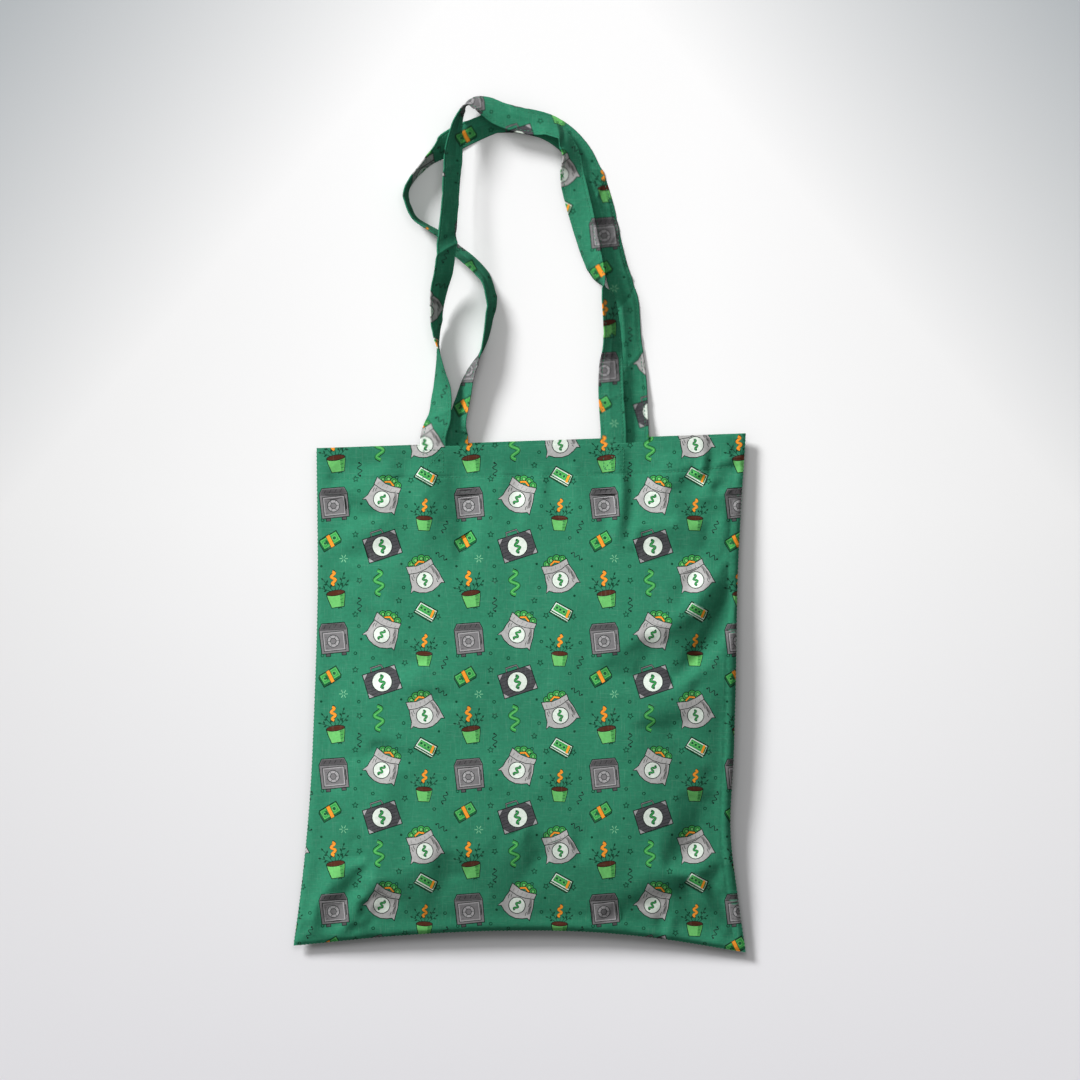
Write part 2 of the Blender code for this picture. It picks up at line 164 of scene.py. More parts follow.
# Soft folds of the front: x and y of both ends, half width and height. A negative height is a hollow.
FRONT_FOLDS = [
    (168, 110, 110, 32, 11, 4), (186, 94, 130, 8, 8, -6.2), (178, 60, 150, -40, 12, 1.2),
    (194, 150, 182, 88, 7, -1.8), (172, 176, 166, 110, 9, 1.4), (-84, 212, -86, 112, 12, 2.6),
    (-57, 214, -54, 92, 9, -2.8), (-112, 208, -124, 120, 12, 0.8), (-20, 210, -16, 150, 8, 0.9),
    (78, 214, 77, 112, 7, 1.9), (90, 216, 89, 130, 6, -2.4), (124, 214, 122, 130, 12, 1.1),
    (160, 222, 158, 178, 4.2, -1.8), (150, 220, 149, 172, 5.5, 1.2), (171, 218, 176, 186, 4.2, 1.1),
    (190, 189, 164, 183, 3.6, -1.2), (190, 199, 166, 195, 3.4, 0.9), (186, 176, 168, 166, 4, 0.9),
    (-190, -212, -146, -146, 9, 2.4), (-168, -214, -126, -146, 8, -2), (186, -216, 146, -156, 8, 2),
    (164, -214, 134, -164, 7, -2), (121, -218, 118, -186, 4.4, -1.8), (129, -218, 128, -188, 4.6, 1.5),
    (-172, 150, -150, 60, 16, 1), (-40, -60, 30, -110, 26, 1), (60, 40, -10, 10, 30, -1),
    (-120, 20, -100, -80, 24, 1), (90, -70, 60, -160, 24, 1), (150, -60, 140, -150, 14, -1.6),
    (-12, 120, -22, -30, 10, -0.9), (34, 90, 30, -20, 12, 0.8), (-100, -40, -112, -170, 12, -0.9),
]
BACK_FOLDS = [
    (-130, 190, -118, 60, 14, -1.2), (-58, 204, -60, 96, 12, -1.6), (96, 206, 92, 100, 12, -1.6),
    (150, 150, 60, 40, 16, -1.2), (-150, -180, -90, -90, 14, -1.2), (150, -190, 80, -90, 14, -1.4),
]


# Lengthwise creases of each handle: from and to along the strap, place across it, and height.
STRAP_CREASES = {
    1: [(60, 190, 2, -1.2), (250, 420, -3, 1.2), (440, 560, 3, 1), (560, 700, -2, -1)],
    -1: [(90, 260, 1, 1.2), (330, 470, 2, -1.2), (450, 690, -3, -2.2), (480, 640, 5.5, -1.4)],
}


# Short tucks across each handle: place along it, lean, half width and height.
STRAP_TUCKS = {
    1: [
        (52, 0.5, 3.5, 0.9), (128, -0.4, 3, -0.9), (197, -0.5, 2.4, -2), (205, -0.5, 3.5, 1.2),
        (238, 0.3, 4, -0.7), (268, -0.3, 4, -0.7), (322, 0.4, 3, -0.9), (404, 0.6, 3.5, 1.6),
        (412, 0.6, 4, -1.6), (436, -0.5, 3, 0.8), (470, 0.4, 4, 0.6), (520, 0.5, 3, 0.8),
        (590, 0.5, 3, -0.8), (640, -0.4, 3, -0.6),
    ],
    -1: [
        (90, 0.5, 3, -0.8), (150, -0.4, 3, -0.9), (210, 0.5, 3, 0.8), (268, 0.3, 3, 0.8),
        (318, -0.4, 3, -0.8), (372, 0.4, 3.5, -0.8), (470, 0.8, 3, -1.3), (492, -1, 3, -1.3),
        (508, 0.9, 2.6, 1.2), (536, -0.9, 3, -1.1), (560, 1, 3, -1.3), (588, -0.8, 2.6, 1.2),
        (612, 0.9, 3, -1.2), (640, -0.9, 3, -1), (664, 0.7, 3, -1),
    ],
}


def curve(stations, rows, at):
    """A smooth curve through rows of numbers that stand at rising stations, read at many places."""
    slopes = np.gradient(rows, stations, axis=0)
    k = np.clip(np.searchsorted(stations, at) - 1, 0, len(stations) - 2)
    span = (stations[k + 1] - stations[k])[..., None]
    t = (at - stations[k])[..., None] / span
    return (
        rows[k] * (1 + 2 * t) * (1 - t) ** 2
        + slopes[k] * span * t * (1 - t) ** 2
        + rows[k + 1] * t * t * (3 - 2 * t)
        + slopes[k + 1] * span * t * t * (t - 1)
    )


def table_values(table, shares):
    """A smooth curve through a table of (share, value), read at many shares."""
    table = np.array(table, float)
    return curve(table[:, 0], table[:, 1:], shares)[..., 0]


def mouth_values(side, u):
    return table_values(FRONT_MOUTH if side > 0 else BACK_MOUTH, u)


def plan_points(side, u, v, half="whole"):
    """Where a panel's points lie seen from above. u runs left to right and v bottom to mouth.
    On half a panel, u is 0 on the side seam and 1 on the bag's middle line."""
    left, right = table_values(LEFT_EDGE, v), table_values(RIGHT_EDGE, v)
    if half == "whole":
        x = left + (right - left) * u
    else:
        x = (left if half == "left" else right) * (1 - u)
        u = (x - left) / (right - left)
    bottom = table_values(BOTTOM_EDGE, u)
    return x, bottom + (mouth_values(side, u) - bottom) * v


def plan_shares(side, x, y):
    """The u and v of points seen from above."""
    u = np.full(np.shape(x), 0.5)
    v = np.full(np.shape(x), 0.5)
    for _ in range(12):
        left, right = table_values(LEFT_EDGE, v), table_values(RIGHT_EDGE, v)
        u = np.clip((x - left) / (right - left), 0.0, 1.0)
        bottom = table_values(BOTTOM_EDGE, u)
        v = np.clip((y - bottom) / (mouth_values(side, u) - bottom), 0.0, 1.0)
    return u, v


def unit(vectors):
    return vectors / np.maximum(np.linalg.norm(vectors, axis=-1), 1e-9)[..., None]


def placed(name, data):
    """A new object in the scene."""
    thing = bpy.data.objects.new(name, data)
    bpy.context.scene.collection.objects.link(thing)
    return thing


def configure(thing, settings):
    for key, value in settings.items():
        setattr(thing, key, value)


def grid_faces(rows, columns):
    """The four-cornered faces of a grid of points."""
    j, i = np.meshgrid(np.arange(rows - 1), np.arange(columns - 1), indexing="ij")
    a = (j * columns + i).ravel()
    return np.stack([a, a + 1, a + 1 + columns, a + columns], 1)


def smooth(low, high, value):
    t = np.clip((value - low) / (high - low), 0.0, 1.0)
    return t * t * (3 - 2 * t)


def seam_heights(u, v):
    """The height of the surface midway between the two panels."""
    corner = SIDE_HEIGHT[0][1]
    return table_values(SIDE_HEIGHT, v) + (table_values(BOTTOM_HEIGHT, u) - corner) * (1 - v) ** 3


def swells(u, v, puff):
    """How far a panel stands away from that surface: rounded at the seams, lower at the open mouth."""
    across = np.clip((np.abs(2 * u - 1) - 1 + SIDE_ROUND) / SIDE_ROUND, 0.0, 1.0)
    along = np.clip(1 - v / FOOT_ROUND, 0.0, 1.0)
    height = puff + (MOUTH_PUFF - FRONT_PUFF) * smooth(0.45, 1.0, v) * puff / FRONT_PUFF
    dome = 1 - DOME * (2 * u - 1) ** 2 - DOME * (1 - np.clip(v / 0.5, 0.0, 1.0)) ** 2
    return height * dome * (1 - across**2.4) ** 0.75 * (1 - along**2.4) ** 0.75


def fold_heights(folds, x, y):
    """Soft ridges and hollows along straight lines that fade out towards both ends."""
    total = np.zeros(np.shape(x))
    for x0, y0, x1, y1, half, height in folds:
        length = math.hypot(x1 - x0, y1 - y0)
        dx, dy = (x1 - x0) / length, (y1 - y0) / length
        along = ((x - x0) * dx + (y - y0) * dy) / length
        bow = 0.06 * length * np.sin(np.clip(along, 0, 1) * math.pi)
        across = (x - x0) * dy - (y - y0) * dx + bow
        fade = smooth(-0.12, 0.25, along) * (1 - smooth(0.6, 1.12, along))
        total += height * fade * np.exp(-((across / half) ** 2))
    return total


def wrapped(grid, x, y, ease=lambda t: t):
    """A repeating grid read between its points. x and y count its cells, and ease shapes each step."""
    rows, columns = grid.shape[:2]
    i, j = np.floor(x).astype(int), np.floor(y).astype(int)
    s, t = (ease(part).reshape(part.shape + (1,) * (grid.ndim - 2)) for part in (x - i, y - j))
    i, j, ii, jj = i % columns, j % rows, (i + 1) % columns, (j + 1) % rows
    low = grid[j, i] * (1 - s) + grid[j, ii] * s
    high = grid[jj, i] * (1 - s) + grid[jj, ii] * s
    return low * (1 - t) + high * t


def value_noise(x, y, size, seed):
    """Smooth random hills about `size` across, between -1 and 1."""
    grid = np.random.default_rng(seed).uniform(-1, 1, (64, 64))
    return wrapped(grid, x / size + 200.0, y / size + 200.0, lambda t: t * t * (3 - 2 * t))


def ripple_heights(x, y, seed):
    """The small unevenness of washed cotton: long soft hills with finer ones over them."""
    return (
        0.95 * value_noise(1.3 * x, 0.6 * y, 42.0, seed)
        + 0.32 * value_noise(x + 0.4 * y, y - 0.2 * x, 17.0, seed + 1)
        + 0.10 * value_noise(x * 1.6, y * 0.7, 8.0, seed + 2)
    )


def sample(grid, u, v):
    """A smooth reading of a grid of heights whose rows run along v and whose columns run along u."""
    last_row, last_column = grid.shape[0] - 1, grid.shape[1] - 1
    gu, gv = u * last_column, v * last_row
    i = np.clip(np.floor(gu).astype(int), 0, last_column - 1)
    j = np.clip(np.floor(gv).astype(int), 0, last_row - 1)

    def weights(t):
        """The shares of the four nearest points."""
        return (
            (-t + 2 * t**2 - t**3) / 2,
            (2 - 5 * t**2 + 3 * t**3) / 2,
            (t + 4 * t**2 - 3 * t**3) / 2,
            (t**3 - t**2) / 2,
        )

    total = np.zeros(np.shape(u))
    for b, row_share in enumerate(weights(gv - j), -1):
        for a, column_share in enumerate(weights(gu - i), -1):
            row, column = np.clip(j + b, 0, last_row), np.clip(i + a, 0, last_column)
            total += row_share * column_share * grid[row, column]
    return total


DRAPE = {1: np.zeros((2, 2)), -1: np.zeros((2, 2))}


def panel_heights(side, x, y):
    """The height of a panel's outer face. side is 1 for the front and -1 for the back."""
    u, v = plan_shares(side, x, y)
    middle = seam_heights(u, v)
    edge = np.minimum(np.minimum(u, 1 - u) * SEAM_TO_SEAM, v * PANEL_LENGTH)
    inner = smooth(0.0, 16.0, edge)
    at_mouth = 1 - 0.75 * smooth(0.93, 1.0, v)
    detail = DETAIL_STRENGTH * sample(DRAPE[side], u, v) * at_mouth
    if side > 0:
        folds = FOLD_STRENGTH * fold_heights(FRONT_FOLDS, x, y) * (0.35 + 0.65 * at_mouth)
        # The right side seam shows as a pressed line a little way in.
        from_line = (1 - u) * PANEL_WIDTH - SEAM_LINE_INSET
        folds -= 0.9 * np.exp(-((from_line / 1.3) ** 2)) * smooth(0.0, 0.05, v)
        stitched = -0.7 * np.exp(-(((1 - v) * PANEL_LENGTH - HEM_DEPTH) / 1.2) ** 2)
        puff = swells(u, v, FRONT_PUFF) + EDGE_PUFF * (1 - (1 - smooth(0.0, 4.0, edge)) ** 2)
        relief = inner * (folds + detail + ripple_heights(x, y, 5) * at_mouth + stitched)
        # A hollow never reaches down to the other panel.
        deepest = 0.8 * puff + 0.2
        relief = np.where(relief < 0, -deepest * np.tanh(-relief / deepest), relief)
        return middle + SKIN_GAP + puff + relief
    folds = fold_heights(BACK_FOLDS, x, y)
    puff = swells(u, v, BACK_PUFF) * (1 - 0.055 * smooth(0.8, 1.0, v)) + EDGE_PUFF * smooth(0.0, 4.0, edge)
    height = middle - SKIN_GAP - puff - inner * (folds + detail + ripple_heights(x, y, 9) * at_mouth)
    # The floor holds the lowest parts up.
    room = FLOOR_REACHED - FLOOR_LOWEST
    pressed = FLOOR_LOWEST + room * np.exp((height - FLOOR_REACHED) / room)
    return np.where(height > FLOOR_REACHED, height, pressed)


def panel_normals(side, x, y):
    """The directions in which a panel's outer face points."""
    step = 0.25
    dx = (panel_heights(side, x + step, y) - panel_heights(side, x - step, y)) / (2 * step)
    dy = (panel_heights(side, x, y + step) - panel_heights(side, x, y - step)) / (2 * step)
    normals = np.stack([-dx, -dy, np.ones(np.shape(x))], -1) * side
    return normals / np.linalg.norm(normals, axis=-1)[..., None]


TILE = 114.75
TILE_ORIGIN = (-174.25, 72.25)
OUTLINE_WEIGHT = 1.35
RASTER_CELL = 0.3


def srgb(r, g, b):
    """A colour from 0 to 255 as the linear light that Blender works in."""
    return tuple(((c / 255 + 0.055) / 1.055) ** 2.4 for c in (r, g, b))


INK = {
    "ground": srgb(46, 125, 95),
    "line": srgb(20, 30, 27),
    "mark": srgb(10, 66, 44),
    "pale": srgb(128, 196, 152),
    "white": srgb(218, 228, 218),
    "steel": srgb(118, 116, 118),
    "steel_dark": srgb(80, 78, 80),
    "steel_light": srgb(158, 156, 158),
    "sack": srgb(174, 173, 172),
    "sack_dark": srgb(124, 122, 122),
    "case": srgb(72, 71, 75),
    "note": srgb(56, 156, 76),
    "note_dark": srgb(24, 92, 54),
    "leaf": srgb(14, 62, 42),
    "pot": srgb(106, 188, 104),
    "pot_dark": srgb(76, 156, 80),
    "soil": srgb(82, 42, 28),
    "orange": srgb(240, 150, 46),
}
INK_NAMES = list(INK)
INK_LIGHT = np.array([INK[name] for name in INK_NAMES])
REVERSE_LIGHT = np.array(srgb(84, 158, 128))
THREAD_LIGHT = np.array(srgb(48, 132, 98))


class Print:
    """Collects flat inked shapes, later ones over earlier ones."""

    def __init__(self):
        self.shapes = []

    def move(self, x, y, turn=0.0, size=1.0):
        self.at, self.turn, self.size = (x, y), math.radians(turn), size

    def fill(self, points, ink):
        p = np.array(points, float) * self.size
        c, s = math.cos(self.turn), math.sin(self.turn)
        turned = np.stack([p[:, 0] * c - p[:, 1] * s, p[:, 0] * s + p[:, 1] * c], 1)
        self.shapes.append((turned + self.at, INK_NAMES.index(ink)))

    def outlined(self, points, ink, width=0.5, line="line"):
        self.fill(swelled(points, width * OUTLINE_WEIGHT), line)
        self.fill(points, ink)

    def stroke(self, points, width, ink):
        p = np.array(points, float)
        d = np.gradient(p, axis=0)
        d /= np.linalg.norm(d, axis=1)[:, None]
        n = np.stack([-d[:, 1], d[:, 0]], 1) * width / 2
        self.fill(np.concatenate([p + n, (p - n)[::-1]]), ink)


def turning(p):
    return np.sum(p[:, 0] * np.roll(p[:, 1], -1) - np.roll(p[:, 0], -1) * p[:, 1])


def swelled(points, width):
    """An outline moved outwards by a width."""
    p = np.array(points, float)
    if turning(p) < 0:
        p = p[::-1]
    a = p - np.roll(p, 1, axis=0)
    b = np.roll(p, -1, axis=0) - p
    a /= np.linalg.norm(a, axis=1)[:, None]
    b /= np.linalg.norm(b, axis=1)[:, None]
    n = np.stack([a[:, 1] + b[:, 1], -a[:, 0] - b[:, 0]], 1)
    k = 1 + np.sum(a * b, axis=1)
    return p + n / np.maximum(k, 0.4)[:, None] * width


def disc(x, y, r, count=16, flat=1.0):
    angles = np.linspace(0, math.tau, count, endpoint=False)
    return [(x + r * math.cos(t), y + r * flat * math.sin(t)) for t in angles]


def box(x0, y0, x1, y1):
    return [(x0, y0), (x1, y0), (x1, y1), (x0, y1)]


def ripple(width, height, count=17, turns=2.0):
    """A plain upright wavy line, thicker than a letter's one double bend has room for."""
    return [(width * math.sin(t * math.tau * turns), height * (0.5 - t)) for t in np.linspace(0, 1, count)]


def rippled_mark(p, x, y, size):
    line = [(x + a * size, y + b * size) for a, b in ripple(1.5, 9.0)]
    p.stroke(line, 1.9 * size, "note_dark")
    p.stroke(line[1:-1], 0.7 * size, "note")


def safe(p):
    """A strongbox on two feet, with a round handle."""
    for x in (-8, 5.5):
        p.outlined(box(x, -14.5, x + 3.2, -10.5), "steel_dark", 0.4)
    p.outlined([(-11.5, -12), (11.2, -12), (11.6, 7.5), (9.6, 12.5), (-9.2, 13), (-11.8, 8.5)], "steel")
    p.fill([(-11.3, 8.6), (11.2, 7.4), (9.4, 12), (-9, 12.5)], "steel_dark")
    for k in range(4):
        p.stroke([(-8 + 4.6 * k, 9), (-6.2 + 4.6 * k, 11.6)], 0.4, "line")
    p.stroke([(-11.5, 8.1), (11.4, 6.9)], 0.55, "line")
    p.outlined(box(-9.2, -10, 8.6, 5.4), "steel_light", 0.4)
    p.fill(box(-8.3, -9.1, 7.7, 4.5), "steel")
    p.outlined(disc(-1, -2.2, 4.9), "steel_light", 0.4)
    p.outlined(disc(-1, -2.2, 2.3, 10), "steel", 0.35)
    for t in range(0, 360, 60):
        c, s = math.cos(math.radians(t)), math.sin(math.radians(t))
        p.stroke([(-1.0 + 2.5 * c, -2.2 + 2.5 * s), (-1.0 + 4.7 * c, -2.2 + 4.7 * s)], 0.35, "line")
    p.stroke([(9.9, -6), (9.9, 3)], 0.7, "line")
    for y in (-8, -4.5, 1.5):
        p.stroke([(-7.8, y), (-6, y + 0.3)], 0.35, "steel_dark")


def sack(p):
    """A plump tied-off sack with two corners at its foot and folded notes at its neck."""
    for x, y, r in ((-7.6, 13.4, 2.7), (-3.2, 15.4, 3), (1.8, 15.6, 3), (6.2, 13.8, 2.7)):
        p.outlined(disc(x, y, r, 12), "note", 0.45)
        p.outlined(disc(x, y, r * 0.42, 8), "pot", 0.35)
    p.outlined([(-5.4, 12.2), (-1, 14.6), (3.6, 12.4), (2.8, 11.4), (-1, 13), (-4.8, 11.2)], "orange", 0.3)
    body = [(-15.4, -9.6), (-12.8, -8.2), (-8.6, -11.2), (-3, -13), (2.6, -13), (7.8, -11), (11.6, -8.6),
            (14, -9.4), (12.9, -4.4), (12, 1), (9.8, 7.5), (-11.4, 6.5), (-12.6, 0.5), (-12.9, -4.6)]
    p.outlined(body, "sack")
    p.fill([(12.4, -4.4), (11.2, 1), (8.8, 6.8), (6.6, 6.6), (9, 0.5), (10, -6.5)], "sack_dark")
    p.outlined([(-12.1, 6.3), (-5, 5.2), (2.5, 6), (9.8, 8.4), (9.6, 12.6), (3, 11), (-4, 10.4),
                (-12.4, 12.4)], "sack", 0.45)
    for k in range(5):
        p.stroke([(-9.5 + 4.0 * k, 7.2), (-9.2 + 4.0 * k, 9.6)], 0.4, "sack_dark")
    creases = ((-10.6, 3.6, 4), (-8.8, 4.6, 3.4), (8.2, 4.4, 4.4), (10.2, 1.4, 4.6), (9, -4.2, 3.6))
    for x, y, reach in creases:
        p.stroke([(x, y), (x - 0.2, y - reach * 0.5), (x + 0.3, y - reach)], 0.45, "line")
    p.outlined(disc(-0.9, -2.7, 6.7, 20), "white", 0.5)
    rippled_mark(p, -0.9, -2.7, 1)


def sprig(p, points, leaves):
    """A thin stem with small pointed leaves on both sides."""
    p.stroke(points, 0.5, "leaf")
    for x, y, turn in leaves:
        c, s = math.cos(math.radians(turn)), math.sin(math.radians(turn))
        p.fill([(x, y), (x + 1.5 * c - 0.8 * s, y + 1.5 * s + 0.8 * c), (x + 3.2 * c, y + 3.2 * s),
                (x + 1.5 * c + 0.8 * s, y + 1.5 * s - 0.8 * c)], "leaf")


# Each sprig of a pot: its stem, and its leaves' places and turns.
SPRIGS = [
    ([(-1.5, -1), (-4.5, 3.5), (-8, 9)], [(-8, 9, 125), (-6.2, 6.2, 60), (-5.4, 5.2, 170), (-3.2, 2, 80)]),
    ([(-3, -1), (-7.5, 1.5), (-10.5, 3)], [(-10.5, 3, 160), (-8.2, 2, 100), (-6.5, 1, 200)]),
    (
        [(1.8, -1), (5.2, 4.5), (8.2, 10.5)],
        [(8.2, 10.5, 62), (7, 8, 10), (6.2, 6.6, 110), (4.6, 3.6, 20), (3.8, 2.6, 115)],
    ),
    ([(3, -1), (7.2, 2), (10, 4.6)], [(10, 4.6, 40), (8.2, 3, -10), (6, 1.4, 80)]),
]


def pot(p):
    """A flower pot with leafy sprigs and a rippled orange bloom."""
    for stem, leaves in SPRIGS:
        sprig(p, stem, leaves)
    p.stroke([(0, -2), (0.3, 2), (0, 6)], 0.6, "leaf")
    shell = [(-7.2, -2.5), (7.2, -2.5), (6.6, -6.5), (4.9, -13.6), (-4.7, -13.6), (-6.6, -6.5)]
    p.outlined(shell, "pot", 0.45)
    p.fill([(3.4, -2.6), (7, -2.6), (6.3, -6.6), (4.7, -13.3), (2.6, -13.3)], "pot_dark")
    for y in (-5.4, -8.2, -11):
        p.stroke([(2.8, y), (5.2, y + 0.3)], 0.35, "leaf")
    p.outlined(disc(0, -2.3, 7.1, 16, 0.27), "soil", 0.4)
    p.stroke([(a, b + 9.5) for a, b in ripple(1.7, 11.6)], 2.7, "line")
    p.stroke([(a, b + 9.5) for a, b in ripple(1.7, 10.8)], 2, "orange")


def notes(p):
    """A banded bundle of notes."""
    bundle = [(-8.6, -5.2), (7.4, -5.2), (8.8, -3.6), (8.8, 4.8), (-7.2, 4.8), (-8.6, 3.2)]
    p.outlined(bundle, "note_dark", 0.45)
    p.fill(box(-7.4, -3.6, 8.5, 4.5), "note")
    p.outlined(box(-6.6, -2.8, 7.7, 3.7), "note", 0.3, "pot")
    p.outlined(disc(4.6, 0.4, 1.5, 10), "note_dark", 0.4, "pot")
    p.outlined(disc(-4.6, 0.4, 1.1, 10), "note_dark", 0.4, "pot")
    p.outlined([(-1.6, -5.4), (1.4, -5.4), (2.2, 5), (-0.8, 5)], "orange", 0.3)
    p.fill(box(-3.6, -1.4, -1.9, 2.4), "note_dark")


def stack(p):
    """A short stack of notes seen from one corner."""
    p.outlined([(-9, -4.6), (7.4, -6.2), (9, -3.2), (8.6, 4.8), (-7.6, 5.8)], "note_dark")
    p.fill([(-8.6, -2.2), (8.3, -3.6), (8.1, 4.4), (-7.4, 5.4)], "white")
    p.fill([(-7.6, -1.2), (7.4, -2.4), (7.2, 3.6), (-6.6, 4.6)], "note")
    p.stroke([(-8.8, -3.6), (8.4, -5)], 0.6, "white")
    for x in (-5, -1.6, 2):
        p.outlined(disc(x, 1.2 - 0.1 * x, 1.2, 9), "note_dark", 0.4, "pot")
    p.fill([(4.6, 4.4), (6.6, 4.2), (6.9, -3), (4.9, -2.9)], "orange")
    p.stroke([(7.6, -2.6), (7.5, 3.8)], 0.7, "note_dark")


def case(p):
    """A hard case with a grip and pale corners."""
    grip = [(-6.2, 9.8), (-6, 13.6), (3.6, 13.6), (4.2, 10.4)]
    p.stroke(grip, 1.9, "line")
    p.stroke(grip, 0.9, "steel")
    p.outlined([(-14.6, -10.6), (14.6, -10.6), (14.4, 9.8), (-14.2, 9.8)], "case", 0.55)
    for y in (-8.6, -5.6, -2.6, 0.4, 3.4, 6.4):
        p.stroke([(-13.8, y), (-2, y + 0.5), (13.8, y - 0.2)], 0.3, "line")
    for x, y, a, b in (
        (-14.6, -10.6, 3.9, 4.2), (14.6, -10.6, -3.9, 4.2),
        (-14.2, 9.8, 3.9, -4.2), (14.4, 9.8, -3.9, -4.2),
    ):
        p.outlined([(x, y), (x + a, y), (x, y + b)], "steel_light", 0.3)
    p.outlined(disc(0, -0.4, 8.3, 22), "white", 0.5)
    rippled_mark(p, 0, -0.4, 1.25)


def streamer(p):
    p.stroke(ripple(3.3, 21.5, 33), 3.5, "line")
    p.stroke(ripple(3.3, 20.6, 33), 2.6, "note")
    p.stroke(ripple(3.3, 19.6, 33), 0.6, "pot")


def thin_curl(p):
    p.stroke(ripple(1.7, 9.8, 21), 0.6, "line")
    for y in (5, -5):
        p.fill(disc(0, y, 0.8, 7), "line")


def sparkle(p):
    for turn in (0, 60, 120):
        c, s = math.cos(math.radians(turn)), math.sin(math.radians(turn))
        p.stroke([(1.0 * c, 1.0 * s), (3.6 * c, 3.6 * s)], 0.55, "pale")
        p.stroke([(-1.0 * c, -1.0 * s), (-3.6 * c, -3.6 * s)], 0.55, "pale")


STAR_TURNS = np.arange(10) * math.pi / 5


def star(p):
    tips = [(reach * math.sin(t), reach * math.cos(t)) for reach, t in zip((0.87, 1.75) * 5, STAR_TURNS)]
    p.outlined(tips, "ground", 0.45, "mark")


def ring(p):
    p.outlined(disc(0, 0, 0.85, 8), "ground", 0.5, "mark")


def dot(p):
    p.fill(disc(0, 0, 1.1, 8), "mark")


# Where the motifs of one repeat stand: drawing, x, y, turn and size.
MOTIFS = [
    (safe, 15, 86.5, 6, 1), (sack, 57.3, 91.8, -26, 1), (pot, 91.5, 76, -2, 0.92),
    (notes, 11.3, 54.3, 31, 1), (case, 55.6, 50.3, 18, 0.98), (sack, 92, 24.2, 18, 1),
    (pot, 15.8, 12.8, 9, 1.06), (streamer, 53, 19, 8, 1), (stack, 92.9, -5.6, -25, 0.98),
    (thin_curl, 108.8, 66.3, -20, 1), (thin_curl, 106, 41.5, 60, 1), (thin_curl, 36.5, 0.5, 5, 1.1),
    (sparkle, 23, 39.5, 0, 1),
]
SPECKS = [
    (star, ((75, 66), (33, 60), (80, 106), (20, 114), (36.5, 21), (70, 4), (103, 105), (33, 107))),
    (ring, (
        (36, 97), (76, 84), (33, 74), (100, 57), (36, 33), (68, 108), (74, 15), (48, 70), (5, 72), (109, 83),
    )),
    (dot, ((72, 35), (104, 8), (4, 33), (79, 96), (38, 86), (31, 49))),
]


def repeat_shapes():
    """The inked shapes of one repeat of the print."""
    p = Print()
    for draw, x, y, turn, size in MOTIFS:
        p.move(x, y, turn, size)
        draw(p)
    for draw, spots in SPECKS:
        for k, (x, y) in enumerate(spots):
            p.move(x % TILE, y % TILE, 37 * k)
            draw(p)
    return p.shapes


REPEAT = repeat_shapes()


def shapes_over(low, high, mirrored):
    """The print's shapes that touch a box, repeated as often as it takes."""
    found = []
    sign = -1 if mirrored else 1
    first, last = (-high[0], -low[0]) if mirrored else (low[0], high[0])

    def repeats(start, end, origin):
        return range(math.floor((start - origin) / TILE) - 1, math.floor((end - origin) / TILE) + 2)

    for j in repeats(low[1], high[1], TILE_ORIGIN[1]):
        for i in repeats(first, last, TILE_ORIGIN[0]):
            shift = np.array(TILE_ORIGIN) + (i * TILE, j * TILE)
            for points, ink in REPEAT:
                moved = (points + shift) * (sign, 1)
                if (moved.max(0) > low).all() and (moved.min(0) < high).all():
                    found.append((moved, ink))
    return found


def cut_print(outline, shapes, loose):
    """Cuts a flat region into triangles along every printed shape: points, triangles and their inks."""
    polygons = [(np.array(outline), 0)] + shapes
    points, faces, inks = [], [], []
    for polygon, ink in polygons:
        if turning(polygon) < 0:
            polygon = polygon[::-1]
        faces.append(list(range(len(points), len(points) + len(polygon))))
        points.extend(polygon.tolist())
        inks.append(ink)
    points.extend(loose)
    made = delaunay_2d_cdt([tuple(p) for p in points], [], faces, 0, 1e-5)
    triangles, colours = [], []
    for triangle, owners in zip(made[2], made[5]):
        if 0 in owners:
            triangles.append(triangle)
            colours.append(inks[max(owners)])
    flat = np.array([tuple(p) for p in made[0]])
    used, triangles = np.unique(np.array(triangles), return_inverse=True)
    return flat[used], triangles.reshape(-1, 3), np.array(colours)


def print_raster(cell):
    """One repeat of the print as light on a fine grid, for cloth that is too twisted to cut."""
    fine = cell / 2
    count = int(round(TILE / fine / 2)) * 2
    fine = TILE / count
    light = np.tile(INK_LIGHT[0], (count, count, 1))
    for points, ink in REPEAT:
        low = np.floor(points.min(0) / fine).astype(int)
        high = np.ceil(points.max(0) / fine).astype(int) + 1
        cols, rows = np.arange(low[0], high[0]), np.arange(low[1], high[1])
        gx, gy = np.meshgrid((cols + 0.5) * fine, (rows + 0.5) * fine)
        winding = np.zeros(gx.shape, int)
        for (x0, y0), (x1, y1) in zip(points, np.roll(points, -1, axis=0)):
            crosses = (y0 <= gy) != (y1 <= gy)
            side = (x1 - x0) * (gy - y0) - (gx - x0) * (y1 - y0)
            winding += crosses & (y1 > y0) & (side > 0)
            winding -= crosses & (y1 <= y0) & (side < 0)
        jj, ii = np.nonzero(winding)
        light[rows[jj] % count, cols[ii] % count] = INK_LIGHT[ink]
    return light.reshape(count // 2, 2, count // 2, 2, 3).mean(axis=(1, 3))


def blurred(grid, reach):
    """A grid of heights averaged over a square neighbourhood, three times over."""
    kernel = np.ones(2 * reach + 1) / (2 * reach + 1)
    for axis in (0, 1) * 3:
        margins = [(reach, reach) if axis == other else (0, 0) for other in (0, 1)]
        grid = np.apply_along_axis(np.convolve, axis, np.pad(grid, margins, "edge"), kernel, "valid")
    return grid


